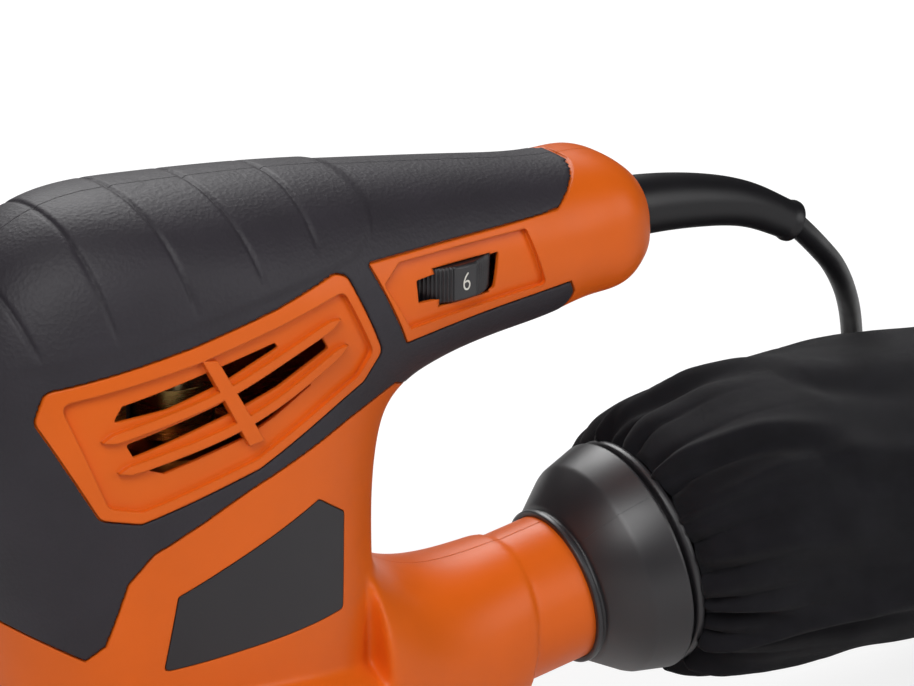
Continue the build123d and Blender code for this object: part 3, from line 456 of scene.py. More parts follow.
def softened(obj, x_range, z_range, passes, edge=6.0):
    """Smooths only the part of a mesh within ranges of X and Z, fading out at their edges."""
    group = obj.vertex_groups.new(name="soft")
    for vertex in obj.data.vertices:
        x, z = vertex.co.x / MM, vertex.co.z / MM
        inside = min(x - x_range[0], x_range[1] - x, z - z_range[0], z_range[1] - z) / edge
        if inside > 0:
            group.add([vertex.index], min(1.0, inside), "REPLACE")
    smoothed(obj, passes, "soft")
    obj.vertex_groups.clear()
    return obj


def smooth(obj, angle=32):
    """Smooth shading, apart from edges sharper than an angle in degrees."""
    obj.data.shade_smooth()
    obj.data.set_sharp_from_angle(angle=radians(angle))
    return obj


def natural_rows(rows, count):
    """Rows of a table, read at even places along a natural cubic spline through them.

    A row with more than four values starts with two points, and its place is halfway between them.
    The place of any other row is its first value.
    """
    rows = np.asarray(rows, float)
    middles = (rows[:, :2] + rows[:, 2:4]) / 2 if rows.shape[1] > 4 else rows[:, :1]
    steps = np.linalg.norm(np.diff(middles, axis=0), axis=1)
    place = np.concatenate([[0], np.cumsum(steps)])
    size = len(rows)
    matrix, right = np.eye(size), np.zeros_like(rows)
    for i in range(1, size - 1):
        before, after = place[i] - place[i - 1], place[i + 1] - place[i]
        matrix[i, i - 1: i + 2] = before, 2 * (before + after), after
        right[i] = 6 * ((rows[i + 1] - rows[i]) / after - (rows[i] - rows[i - 1]) / before)
    curve = np.linalg.solve(matrix, right)
    result = []
    for t in np.linspace(0, place[-1], count):
        i = min(int(np.searchsorted(place, t, side="right")) - 1, size - 2)
        width = place[i + 1] - place[i]
        a, b = (place[i + 1] - t) / width, (t - place[i]) / width
        bend = ((a ** 3 - a) * curve[i] + (b ** 3 - b) * curve[i + 1]) * width * width / 6
        result.append(a * rows[i] + b * rows[i + 1] + bend)
    return result


# ---------------------------------------------------------------- outer form of the housing
BODY_SECTIONS = [  # inner point and outer point in X and Z, half width, squareness
    (46.6, 62, -51.5, 62, 36, 2.4), (46.6, 80, -54.5, 82, 35.7, 2.4), (47.3, 95, -59, 104, 34.8, 2.4),
    (49.6, 107.5, -61.5, 129, 34, 2.4), (53, 113.4, -55.5, 154, 33.4, 2.35),
    (58, 117, -35.5, 170.6, 32.6, 2.3), (64, 119.2, -8, 172.8, 31, 2.25), (72, 120.8, 24, 170.8, 28, 2.2),
    (84, 122.4, 54, 167.4, 24.8, 2.2), (98, 124.4, 82, 163.6, 22.2, 2.25),
    (109, 126.6, 104, 161.4, 20.8, 2.3), (117, 128.9, 116, 159.8, 19.4, 2.5),
    (121.8, 132.2, 121.4, 156, 15.5, 2.4),
]
FAIRING_SECTIONS = [  # X, underside, top, half width
    (38.0, 16.0, 84.0, 34.0), (50.0, 16.0, 71.5, 31.0), (60.0, 16.0, 66.0, 27.5), (72.0, 18.5, 64.4, 23.5),
    (88.0, 25.0, 65.8, 19.6),
]
FAIRING_POWER = 2.3
MOTOR_X = -1.25
SKIRT_BOTTOM, SKIRT_EDGE, SKIRT_RADIUS = 16.0, 24.0, 60.0
SKIRT_FLARE = [(0, 33), (2.5, 41), (9, 50), (19, 58), (30, 64)]     # distance inwards, and height
WALL = 2.6
# The dust outlet's axis rises to the rear by TILT and passes the adapter's lip at LIP_X, LIP_Z
TILT = radians(10.25)
LIP_X, LIP_Z = 104.6, 49.6
TUBE_RADIUS, TUBE_WALL, TUBE_INSERTION, TUBE_ROOT = 18.5, 2.8, 18.0, 34.0


def rounded_ring(middle, along, half_length, half_width, power, size=144):
    """Closed rounded-box ring; half_length lies along the given direction in the middle plane."""
    ring = []
    for step in range(size):
        angle = tau * step / size
        reach = half_length * np.sign(cos(angle)) * abs(cos(angle)) ** (2 / power)
        side = -half_width * np.sign(sin(angle)) * abs(sin(angle)) ** (2 / power)
        ring.append((middle[0] + along[0] * reach, side, middle[1] + along[1] * reach))
    return ring


def body_solid(inset=0.0, count=230):
    """Column and handle, from the skirt's bottom to the handle's end."""
    rings = []
    for x0, z0, x1, z1, half_width, power in natural_rows(BODY_SECTIONS, count):
        start, end = np.array([x0, z0]), np.array([x1, z1])
        length = np.linalg.norm(start - end)
        rings.append(rounded_ring((start + end) / 2, (start - end) / length, length / 2 - inset,
                                  half_width - inset, power))
    foot = np.array(rings[0])
    depth = BODY_SECTIONS[0][1] - SKIRT_BOTTOM + inset
    below = [foot - (0, 0, depth * share) for share in np.linspace(1, 0, 24, endpoint=False)]
    return closed_loft("body", [*below, *rings])


def about_motor(distance, angle, radius):
    """Point round the motor's axis; the distance is a height."""
    return (MOTOR_X + radius * cos(angle), radius * sin(angle), distance)


def about_outlet(distance, angle, radius):
    """Point round the dust outlet's axis, from the adapter's lip; angles are counted from the top."""
    up, side = radius * cos(angle), radius * sin(angle)
    return (LIP_X + distance * cos(TILT) - up * sin(TILT), side,
            LIP_Z + distance * sin(TILT) + up * cos(TILT))


def turned(name, profile, place, size=128):
    """Solid of revolution, from distances along its axis and radii."""
    rings = [[place(distance, tau * step / size, radius) for step in range(size)]
             for distance, radius in profile]
    return closed_loft(name, rings)


def skirt_solid(inset=0.0):
    """Round skirt over the pad."""
    rows = natural_rows([(level, SKIRT_RADIUS - drop) for drop, level in SKIRT_FLARE], 30)
    profile = [(SKIRT_BOTTOM - inset, SKIRT_RADIUS - inset), (SKIRT_EDGE, SKIRT_RADIUS - inset)]
    profile += [(level - inset, radius - inset) for level, radius in rows]
    return turned("skirt", profile, about_motor)


def fairing_solid(inset=0.0):
    """Swelling that leads from the skirt and column to the dust outlet."""
    rings = []
    for x, bottom, top, half_width in natural_rows(FAIRING_SECTIONS, 60):
        rings.append(rounded_ring((x, (bottom + top) / 2), (0, -1), (top - bottom) / 2 - inset,
                                  half_width - inset, FAIRING_POWER))
    return closed_loft("fairing", rings)


def outlet_solid(radius, start, end):
    """Round tube of the dust outlet."""
    return turned("outlet", [(start, radius), (end, radius)], about_outlet)


# ---------------------------------------------------------------- outlines on the housing's sides, X and Z
GRIP_OUTLINE = [
    (60, 106), (97.5, 106), (97.5, 133.5), (95.5, 136.6), (68, 134.6), (46, 133), (36, 154),
    (76, 154.1), (93, 154.4), (96.5, 156.3), (104.5, 161.3), (106, 185), (-80, 185), (-80, 92),
    (-52, 81.5), (-38.5, 74), (-34.5, 77.5), (-29.5, 92), (-23.5, 98.2), (1, 108.7), (29.8, 118.2),
    (46, 122), (53, 118.5),
]
VENT_OUTLINE = [
    (-45, 138), (-47.5, 131.5), (-35, 108), (-26, 106), (4, 113.3), (34, 126.5), (38.5, 133),
    (29.5, 152.5), (26.5, 153.5), (10, 149), (-11, 144.3),
]
VENT_RECESS = [
    (-42.5, 135.4), (-33.2, 110.4), (-25.6, 108.6), (3.5, 115.4), (32.2, 128.2), (36, 133.6),
    (28.2, 149.6), (10, 145.2), (-11, 140.6),
]
SLOT_ROWS = [
    [(-31, 129.6), (-28.6, 133.3), (-8, 137.7), (9.5, 141.3), (10.5, 139.9), (-4, 134.3), (-18, 130.8)],
    [
        (-28.3, 124.4), (-5.6, 129.7), (8, 134.5), (21.9, 140.4),
        (24, 136.8), (10, 130.5), (-1.9, 127), (-26.6, 121),
    ],
    [
        (-24.2, 117.9), (-0.5, 122.8), (9, 125.5), (19.4, 130.1),
        (18.9, 129), (9, 123.9), (1.2, 120.6), (-19.6, 116.2),
    ],
]
FIN_LINES = [
    [(-33.9, 125.8), (-18.9, 129), (-3.2, 132.6), (12.3, 138.2), (26.8, 143.6)],
    [(-30.6, 118.2), (-17.7, 120.6), (-0.5, 124.2), (12, 128.6), (28.7, 137)],
]
FIN_HALF, FIN_POINTS = 1.1, 24
CROSS_RIB = [(-9.7, 141), (-5.9, 140.4), (5.3, 119.6), (1.4, 119)]
LABEL_OUTLINE = [(-18, 87.1), (20.2, 101.5), (28.2, 96), (26.6, 73.2), (-21.8, 69.8)]
DIAL_RECESS = [(39.7, 148.5), (44.8, 152.4), (82.5, 152.3), (87.7, 138), (46.9, 136.4)]
DIAL_SLOT = [(49.8, 146.9), (74.5, 148.4), (72.9, 139.9), (50, 141.5)]
# Pockets in the housing's sides: depths, room round what lies in them, and corner radii
GRIP_DEPTH, LABEL_DEPTH, PANEL_DEPTH = 1.0, 0.8, 1.5
GROOVE_GAP, LABEL_GAP = 0.35, 0.2
VENT_CORNER, VENT_RECESS_CORNER, SLOT_CORNER = 3.0, 2.5, 0.8
LABEL_CORNER, DIAL_CORNER, DIAL_SLOT_CORNER = 1.2, 1.0, 0.6
SLOT_ROOT = 14      # how near to the middle plane the vent's slots are cut
# Outer and inner faces of the overmould and the label, inwards from the body's surface
GRIP_FACES, LABEL_FACES = (-0.1, 0.9), (-0.05, 0.7)
HANDLE_END = 121.8
END_WALL = 6.8
SWITCH_HALF_WIDTH, SWITCH_BOTTOM, SWITCH_TOP = 12.2, 110.8, 139.2
NECK_RADIUS, NECK_LEVEL = 7.65, 144.3
BEYOND, WIDE = 300, 90      # past the whole tool, and past its sides


def fin_outline(line, half=FIN_HALF):
    """Slender leaf round a curved line, pointed at both ends."""
    points = np.array(natural_rows([(x, z, x, z, 0) for x, z in line], FIN_POINTS))[:, :2]
    ahead = np.gradient(points, axis=0)
    ahead /= np.linalg.norm(ahead, axis=1)[:, None]
    normal = np.stack([-ahead[:, 1], ahead[:, 0]], axis=1)
    width = half * np.minimum(1, 4.5 * np.sin(np.linspace(0, pi, FIN_POINTS)) ** 0.8)[:, None]
    upper, lower = points + normal * width, points - normal * width
    return [tuple(point) for point in [*upper, *lower[-2:0:-1]]]


def switch_opening(x0, x1):
    """Opening for the switch in the nose, between two places along X."""
    return block("switch", x0, x1, -SWITCH_HALF_WIDTH, SWITCH_HALF_WIDTH, SWITCH_BOTTOM, SWITCH_TOP)


def side_pocket(name, outline, corner, depth, stands=()):
    """Cutter for a shallow pocket in the housing's sides; what stands in it stays."""
    cutter = prism(name, outline, corner)
    return combine(cutter, "DIFFERENCE", body_solid(depth), *stands)


def vent_fins():
    """Cross rib and leaf-shaped fins of the vent."""
    return [prism("rib", CROSS_RIB), *[prism("fin", fin_outline(line)) for line in FIN_LINES]]


def slot_cutters():
    """Slots between the vent's fins, through both sides."""
    cutters = []
    for row in SLOT_ROWS:
        for y0, y1 in ((-200, -SLOT_ROOT), (SLOT_ROOT, 200)):
            cutter = prism("slot", row, SLOT_CORNER, y0, y1)
            cutters.append(combine(cutter, "DIFFERENCE", *vent_fins()))
    return cutters


def housing_shell():
    """Orange housing, both halves in one."""
    shell = combine(body_solid(), "UNION", skirt_solid(), fairing_solid(),
                    outlet_solid(TUBE_RADIUS, -TUBE_ROOT, TUBE_INSERTION))
    remeshed(shell, size=0.8, passes=8)
    softened(shell, x_range=(34, 66), z_range=(16, 96), passes=45)
    vent_border = prism("vent", VENT_OUTLINE, VENT_CORNER)
    right_side = block("right", 0, 200, 0, 200, 100, 200)
    combine(shell, "DIFFERENCE", housing_cavity(),
            side_pocket("grip", grown(GRIP_OUTLINE, GROOVE_GAP), 0.0, GRIP_DEPTH, [vent_border]),
            side_pocket("label", grown(LABEL_OUTLINE, LABEL_GAP), LABEL_CORNER, LABEL_DEPTH),
            side_pocket("vent", VENT_RECESS, VENT_RECESS_CORNER, PANEL_DEPTH, vent_fins()),
            side_pocket("dial", DIAL_RECESS, DIAL_CORNER, PANEL_DEPTH, [right_side]),
            *slot_cutters(), switch_opening(-70, -50), neck_hole(), wheel_room(),
            prism("dial slot", DIAL_SLOT, DIAL_SLOT_CORNER, -200, -12))
    return shell


def housing_cavity():
    """Room inside the walls, open below the skirt and at the outlet's end."""
    cavity = combine(body_solid(WALL), "DIFFERENCE",
                     block("end", HANDLE_END - END_WALL, BEYOND, -WIDE, WIDE, 100, BEYOND))
    outlet = combine(fairing_solid(WALL), "DIFFERENCE", block("front", -BEYOND, 53, -WIDE, WIDE, 0, BEYOND),
                     block("low", -BEYOND, 58, -WIDE, WIDE, 34, BEYOND))
    return combine(cavity, "UNION", skirt_solid(WALL), outlet,
                   outlet_solid(TUBE_RADIUS - TUBE_WALL, -TUBE_ROOT, TUBE_INSERTION + 5))


def neck_hole(size=64):
    """Hole for the boot's neck in the handle's end."""
    rings = []
    for x in (HANDLE_END - 20, HANDLE_END + 20):
        turns = [tau * step / size for step in range(size)]
        rings.append([(x, NECK_RADIUS * cos(turn), NECK_LEVEL + NECK_RADIUS * sin(turn)) for turn in turns])
    return closed_loft("neck", rings)


WHEEL_X, WHEEL_Y, WHEEL_BOTTOM, WHEEL_RADIUS, WHEEL_HEIGHT = 61.5, -11.0, 139.6, 15.0, 8.6
WHEEL_PLAY, WHEEL_EDGE = 0.4, 0.5


def wheel_room(size=96):
    """Room round the speed wheel."""
    radius = WHEEL_RADIUS + WHEEL_PLAY
    rings = []
    for level in (WHEEL_BOTTOM - WHEEL_PLAY, WHEEL_BOTTOM + WHEEL_HEIGHT + WHEEL_PLAY):
        turns = [tau * step / size for step in range(size)]
        rings.append([(WHEEL_X + radius * cos(turn), WHEEL_Y + radius * sin(turn), level) for turn in turns])
    return closed_loft("wheel room", rings)


# Finger grooves over the grip: upper and lower point of each, X and Z
GRIP_GROOVES = [
    ((-50.0, 160.0), (-45.5, 146.0)), ((-32.7, 167.0), (-29.0, 149.0)), ((-14.3, 170.0), (-10.4, 153.0)),
    ((4.2, 171.0), (7.3, 156.0)), ((23.9, 170.0), (23.5, 160.0)),
]
GROOVE_DEPTH, GROOVE_HALF, GROOVE_FADE = 0.55, 0.55, 6
# Lower edge of the raised zone that the grooves lie in, its rear end and how far it is raised
ZONE_FOOT = [
    (-66, 140), (-47, 143), (-29, 145.5), (-10, 149), (7, 152), (23.8, 154.5), (32.6, 156), (39.3, 160),
    (42.6, 165),
]
ZONE_REAR, ZONE_RISE = 41.5, 0.5
GRIP_MIDDLE = (0.0, 0.0, 140.0)


def shaped_grip(obj):
    """Presses the finger grooves into the grip's outer face and raises the zone round them."""
    mesh = obj.data
    count = len(mesh.vertices)
    places, normals = np.empty(count * 3), np.empty(count * 3)
    mesh.vertices.foreach_get("co", places)
    mesh.vertex_normals.foreach_get("vector", normals)
    places, normals = places.reshape(-1, 3) / MM, normals.reshape(-1, 3)
    x, z = places[:, 0], places[:, 2]
    outward_face = ((places - np.array(GRIP_MIDDLE)) * normals).sum(axis=1) > 0
    foot = np.interp(x, [p[0] for p in ZONE_FOOT], [p[1] for p in ZONE_FOOT])
    move = ZONE_RISE * ease((z - foot) / 2.5 + 0.5) * ease((ZONE_REAR - x) / 4 + 0.5)
    for (x1, z1), (x0, z0) in GRIP_GROOVES:
        line = x0 + (x1 - x0) * (z - z0) / (z1 - z0)
        fade = ease((z - z0) / GROOVE_FADE + 0.5)
        move -= GROOVE_DEPTH * np.exp(-((x - line) / GROOVE_HALF) ** 2) * fade
    move *= outward_face
    places += normals * move[:, None]
    mesh.vertices.foreach_set("co", (places * MM).ravel())
    mesh.update()
    return obj


def grip_skin():
    """Black overmould, both halves in one."""
    outer, inner = GRIP_FACES
    grip = combine(body_solid(outer), "INTERSECT", prism("region", GRIP_OUTLINE))
    combine(grip, "DIFFERENCE", prism("vent", grown(VENT_OUTLINE, GROOVE_GAP), VENT_CORNER),
            body_solid(inner), switch_opening(-90, -45))
    remeshed(grip, size=0.45, passes=2)
    return shaped_grip(grip)


def label_plate():
    """Blank plate on each side of the column."""
    outer, inner = LABEL_FACES
    plate = combine(body_solid(outer), "INTERSECT", prism("label", LABEL_OUTLINE, LABEL_CORNER))
    return combine(plate, "DIFFERENCE", body_solid(inner))


SEAM = 0.05     # half the gap between the housing's halves


def halves(obj, name, slot, node):
    """Splits a piece along the housing's parting plane and dresses both halves."""
    for side, y0, y1 in (("left", -BEYOND, -SEAM), ("right", SEAM, BEYOND)):
        half = new_object(f"{name}_{side}", obj.data.copy())
        combine(half, "INTERSECT", block("room", -BEYOND, BEYOND, y0, y1, -50, 400))
        smooth(half)
        dress(half, slot, "housing", f"{node}_{side}")
    discard(obj)


halves(housing_shell(), "housing_shell", "shell_plastic", "housing")
halves(grip_skin(), "grip_skin", "grip_rubber", "grip")
halves(label_plate(), "label_plate", "label_film", "label")


# ---------------------------------------------------------------- speed wheel
RIDGES, RIDGE_DEPTH, PLAIN_DEPTH = 96, 0.22, 0.2
RIDGE_GROUP = radians(34)
DIGIT_PITCH = tau / 6
DIGIT_ANGLE = radians(8)
DIGIT_SIZE, DIGIT_WIDTH = 6.4, 0.82     # size of the type, and how far it is narrowed
DIGIT_DEPTH, DIGIT_OFFSET = 0.12, -0.00006


def wheel_radius(angle):
    """Radius of the wheel's rim: groups of fine ridges between plain places for the digits."""
    from_digit = (angle - DIGIT_ANGLE + DIGIT_PITCH / 2) % DIGIT_PITCH - DIGIT_PITCH / 2
    if abs(abs(from_digit) - DIGIT_PITCH / 2) < RIDGE_GROUP / 2:
        return WHEEL_RADIUS - RIDGE_DEPTH + RIDGE_DEPTH * cos(angle * RIDGES)
    return WHEEL_RADIUS - PLAIN_DEPTH


def make_wheel():
    """Thumbwheel; its angles are counted from the left side, towards the rear."""
    rings = []
    top = WHEEL_BOTTOM + WHEEL_HEIGHT
    steps = RIDGES * 12
    edge = WHEEL_EDGE
    for level, drop in ((WHEEL_BOTTOM, edge), (WHEEL_BOTTOM + edge, 0), (top - edge, 0), (top, edge)):
        ring = []
        for step in range(steps):
            angle = tau * step / steps
            radius = wheel_radius(angle) - drop
            ring.append((WHEEL_X + radius * sin(angle), WHEEL_Y - radius * cos(angle), level))
        rings.append(ring)
    wheel = smooth(closed_loft("speed_wheel", rings), 40)
    dress(wheel, "gloss_black", "dial", "speed_dial")
    for number in range(6):
        make_digit(str(6 - number), DIGIT_ANGLE + number * DIGIT_PITCH)


def make_digit(text, around):
    """Plain number, bent round the wheel's rim."""
    curve = bpy.data.curves.new("digit", "FONT")
    curve.body = text
    curve.size = DIGIT_SIZE * MM
    curve.align_x = "CENTER"
    curve.align_y = "CENTER"
    curve.offset = DIGIT_OFFSET
    shape = new_object("digit", curve)
    graph = bpy.context.evaluated_depsgraph_get()
    mesh = bpy.data.meshes.new_from_object(shape.evaluated_get(graph))
    discard(shape)
    level = WHEEL_BOTTOM + WHEEL_HEIGHT / 2
    radius = WHEEL_RADIUS - DIGIT_DEPTH
    for vertex in mesh.vertices:
        angle = around + vertex.co.x * DIGIT_WIDTH / MM / radius
        vertex.co = (
            (WHEEL_X + radius * sin(angle)) * MM,
            (WHEEL_Y - radius * cos(angle)) * MM,
            level * MM + vertex.co.y,
        )
    dress(new_object(f"digit_{text}", mesh), "white_plastic", "dial")


make_wheel()


# ---------------------------------------------------------------- cord boot
BOOT_RINGS = [  # X, Z and radius
    (112.3, 144.3, 7.5), (124, 144.2, 7.5), (135, 143.6, 7.1), (147, 142, 6.5), (161.5, 138.1, 5.5),
    (171.5, 133.1, 4.9), (174.6, 131.5, 4.8),
]
BOOT_BEAD, BOOT_BEAD_START, BOOT_BEAD_LENGTH = 0.45, 0.3, 2.4       # bead round the boot's rear end
BOOT_EDGE, BOOT_EDGE_LENGTH = 0.7, 0.9                              # rounding of that end


def make_boot(size=72):
    """Tapered boot round the cord, with a bead at its rear end."""
    rows = np.array(natural_rows([(x, z, x, z, radius) for x, z, radius in BOOT_RINGS], 90))
    places, radii = rows[:, :2], rows[:, 4]
    ahead = np.gradient(places, axis=0)
    ahead /= np.linalg.norm(ahead, axis=1)[:, None]
    rings = []
    for place, direction, radius in zip(places, ahead, radii):
        from_end = np.linalg.norm(places[-1] - place)
        if BOOT_BEAD_START < from_end < BOOT_BEAD_LENGTH:
            radius += BOOT_BEAD * sin(pi * from_end / BOOT_BEAD_LENGTH) ** 0.5
        radius -= BOOT_EDGE * (1 - min(1.0, from_end / BOOT_EDGE_LENGTH)) ** 2
        turns = [tau * step / size for step in range(size)]
        rings.append([(place[0] - direction[1] * radius * cos(turn), radius * sin(turn),
                       place[1] + direction[0] * radius * cos(turn)) for turn in turns])
    boot = smooth(closed_loft("cord_boot", rings), 50)
    dress(boot, "lead_sheath", "housing", "cable_boot")


make_boot()

# ---------------------------------------------------------------- dust bag and its adapter
ADAPTER_CONE = [(3.1, 20.6), (11.4, 26.7), (12.0, 27.05), (12.6, 27.35), (20.9, 29.6)]
ADAPTER_PROFILE = [  # distance along the outlet from the adapter's lip, and radius
    (0, 18.6), (0.0, 19.5), (0.25, 19.9), (1.2, 20.0), (1.5, 19.7), (1.7, 19.3), (2.4, 19.3), (2.7, 20.0),
    *ADAPTER_CONE, (21.4, 29.5), (21.6, 29.0), (21.7, 26.5), (23.0, 26.5), (23.05, 28.4), (23.4, 28.95),
    (24.2, 29.15), (25.0, 28.9), (25.3, 28.3), (25.4, 24.1), (37.9, 24.0), (37.9, 21.6), (20.5, 21.6),
    (20.5, 18.6),
]
MOULD_LINES = (radians(-38), radians(142))      # angles from the top of the two moulding lines
MOULD_LINE_START, MOULD_LINE_END, MOULD_LINE_POINTS = 3.2, 20.8, 20
MOULD_LINE_HALF, MOULD_LINE_RISE, MOULD_LINE_SINK = 0.12, 0.12, 0.3


def lathe_along_outlet(name, profile, size=160):
    """Ring turned about the outlet's axis, from a closed profile."""
    count = len(profile)
    points = [about_outlet(distance, tau * step / size, radius)
              for step in range(size) for distance, radius in profile]
    faces = []
    for step in range(size):
        after = (step + 1) % size
        for i in range(count):
            j = (i + 1) % count
            faces.append((step * count + i, step * count + j, after * count + j, after * count + i))
    return outward(make_mesh(name, points, faces))


def mould_line(name, angle):
    """Thin moulding line along the adapter's cone and band."""
    distances, radii = zip(*ADAPTER_CONE)
    rings = []
    for distance in np.linspace(MOULD_LINE_START, MOULD_LINE_END, MOULD_LINE_POINTS):
        radius = np.interp(distance, distances, radii)
        ring = []
        for shift, reach in ((-MOULD_LINE_HALF, -MOULD_LINE_SINK), (0, MOULD_LINE_RISE),
                             (MOULD_LINE_HALF, -MOULD_LINE_SINK)):
            ring.append(about_outlet(distance, angle + shift / radius, radius + reach))
        rings.append(ring)
    return dress(closed_loft(name, rings), "gloss_black", "bag")


adapter = smooth(lathe_along_outlet("tube_adapter", ADAPTER_PROFILE), 24)
dress(adapter, "gloss_black", "bag", "bag_adapter", "bag_clamp")
for number, angle in enumerate(MOULD_LINES):
    mould_line(f"mould_line_{number}", angle)

BAG_SECTIONS = [  # X, middle height, half height, half width
    (152.0, 56.6, 37.5, 39.0), (172.0, 56.0, 39.2, 43.5), (196.0, 55.0, 39.6, 46.0),
    (224.0, 54.0, 40.0, 47.0), (252.0, 52.6, 39.4, 46.5), (278.0, 51.2, 36.0, 44.0),
    (297.0, 50.0, 27.5, 40.0), (308.0, 49.3, 15.0, 36.0),
]
BAG_NECK = [(25.6, 28.2), (28.0, 31.0), (32.0, 34.0)]   # distance along the outlet, and radius
BAG_POWER, BAG_NECK_POWER, BAG_SHOULDER_POWER = 2.3, 2.0, 2.15
BAG_SHOULDER_TILT = TILT * 0.45
BAG_RINGS, BAG_STEPS = 280, 400
BAG_LENGTH = 175.0
BAG_THICKNESS = 1.0
PUCKERS, PUCKER_HEIGHT, PUCKER_LENGTH = 27, 3.6, 12.0
WAVES, WAVE_HEIGHT, WAVE_LENGTH = 13, 0.9, 26.0
SLACK = [(0.021, 3.0), (0.075, 0.7)]    # fineness and height of the cloth's unevenness
DRAWN_IN = [(0, 0), (10, 0.6), (40, 3.2)]   # distance from the neck, and how far the bag is slimmer
FOLDS = [  # angle from the top towards the left, start and end along the bag, lean, height, half width
    (0.50, 0.00, 0.26, 0.10, 2.6, 2.4), (0.95, 0.00, 0.20, -0.12, 2.2, 2.0),
    (1.30, 0.01, 0.34, 0.20, 1.9, 3.4), (1.75, 0.00, 0.16, 0.10, 1.8, 1.8),
    (2.15, 0.00, 0.42, -0.35, 2.8, 2.6), (2.55, 0.00, 0.30, 0.15, 2.4, 2.2),
    (2.95, 0.00, 0.24, -0.10, 2.6, 2.4), (-0.30, 0.00, 0.30, 0.14, 2.2, 2.4),
    (-0.95, 0.00, 0.26, -0.16, 2.2, 2.6), (-1.60, 0.00, 0.36, 0.20, 2.2, 2.8),
    (-2.30, 0.00, 0.30, -0.18, 2.4, 2.4), (0.05, 0.25, 0.62, 0.16, 2.0, 5.5),
    (0.85, 0.22, 0.70, 0.34, 2.0, 6.5), (1.55, 0.40, 0.86, -0.22, 1.6, 6.0),
    (2.30, 0.42, 0.90, 0.25, 2.0, 6.0), (-0.80, 0.35, 0.80, -0.30, 2.0, 6.5),
    (-1.90, 0.30, 0.80, 0.25, 2.0, 6.5), (3.00, 0.40, 0.85, 0.10, 1.6, 6.5),
]
FOLD_GIRTH = 38.0       # radius at which a fold's half width is measured


def bag_rings():
    """Rings of the plain bag, from its neck behind the adapter's bead to its far end."""
    rows = []
    for distance, radius in BAG_NECK:
        x, _, z = about_outlet(distance, 0, 0)
        rows.append((x, z, radius, radius, TILT, BAG_NECK_POWER))
    rows += [(x, z, height, width, 0.0, BAG_POWER) for x, z, height, width in BAG_SECTIONS]
    shoulder = len(BAG_NECK)
    rows[shoulder] = (*rows[shoulder][:4], BAG_SHOULDER_TILT, BAG_SHOULDER_POWER)
    table = np.array(rows)
    steps = np.concatenate([[0], np.cumsum(np.linalg.norm(np.diff(table[:, :3], axis=0), axis=1))])
    dense = np.linspace(0, steps[-1], BAG_RINGS)
    columns = [softened_column(np.interp(dense, steps, column)) for column in table.T]
    return dense / steps[-1], np.stack(columns, axis=1)


def softened_column(column, window=17, margin=14, ends=6):
    """Values along the bag with their corners rounded, and with the first and last value kept."""
    padded = np.concatenate([np.full(margin, column[0]), column, np.full(margin, column[-1])])
    kernel = np.hanning(window)
    soft = np.convolve(padded, kernel / kernel.sum(), mode="same")[margin:-margin]
    order = np.arange(len(column))
    share = np.clip(np.minimum(order, order[::-1]) / ends, 0, 1)
    return column * (1 - share) + soft * share


def bag_surface(rows, angles):
    """Points of the plain bag and the directions that lead out of it."""
    places = np.empty((BAG_RINGS, BAG_STEPS, 3))
    for i, (x, z, height, width, tilt, power) in enumerate(rows):
        up = height * np.sign(np.cos(angles)) * np.abs(np.cos(angles)) ** (2 / power)
        side = -width * np.sign(np.sin(angles)) * np.abs(np.sin(angles)) ** (2 / power)
        places[i] = np.stack([x - up * np.sin(tilt), side, z + up * np.cos(tilt)], axis=1)
    along = np.gradient(places, axis=0)
    around = np.roll(places, -1, axis=1) - np.roll(places, 1, axis=1)
    normals = np.cross(around, along)
    normals /= np.linalg.norm(normals, axis=2)[:, :, None] + 1e-9
    centre = places.mean(axis=1, keepdims=True)
    if ((places - centre) * normals).sum() < 0:
        normals = -normals
    return places, normals


def neck_puckers(share, angles):
    """Height of the puckers where the cloth is gathered."""
    at = share[:, None] * BAG_LENGTH
    warp = 0.9 * np.sin(3 * angles + 0.7) + 0.6 * np.sin(5 * angles + 2.1)
    pucker = np.abs(np.sin((PUCKERS * angles + warp * 2.2 + at * 0.05) / 2)) ** 0.7
    puckers = PUCKER_HEIGHT * np.exp(-at / PUCKER_LENGTH) * (pucker - 0.6) * np.minimum(1.0, 0.45 + at / 3)
    wave = np.sin(WAVES * angles + 1.4 * np.sin(2 * angles) + at * 0.06)
    return puckers + WAVE_HEIGHT * np.exp(-at / WAVE_LENGTH) * wave


def bag_folds(share, angles):
    """Height of the long folds, each with a shallow valley on one side."""
    signed = np.where(angles > pi, angles - tau, angles)
    rise = np.zeros((BAG_RINGS, BAG_STEPS))
    for angle, start, end, lean, height, half in FOLDS:
        t = (share - start) / (end - start)
        inside = ease(np.minimum(t * 9 + 0.6, (1 - t) * 2.2))
        inside = np.where((t > -0.05) & (t < 1), inside, 0)
        line = angle + lean * t
        gap = (signed[None, :] - line[:, None] + pi) % tau - pi
        distance = gap * FOLD_GIRTH / (half * (0.7 + np.clip(t, 0, 1))[:, None])
        rise += height * inside[:, None] * (np.exp(-distance ** 2) - 0.55 * np.exp(-(distance - 1.7) ** 2))
    return rise


def bag_slack(share, places):
    """Unevenness of slack cloth, less near the neck."""
    rise = np.zeros((BAG_RINGS, BAG_STEPS))
    for i in range(BAG_RINGS):
        fade = min(1.0, 0.25 + share[i] * 5)
        for j in range(BAG_STEPS):
            for fineness, height in SLACK:
                rise[i, j] += noise.noise(Vector(places[i, j] * fineness)) * height * fade
    return rise


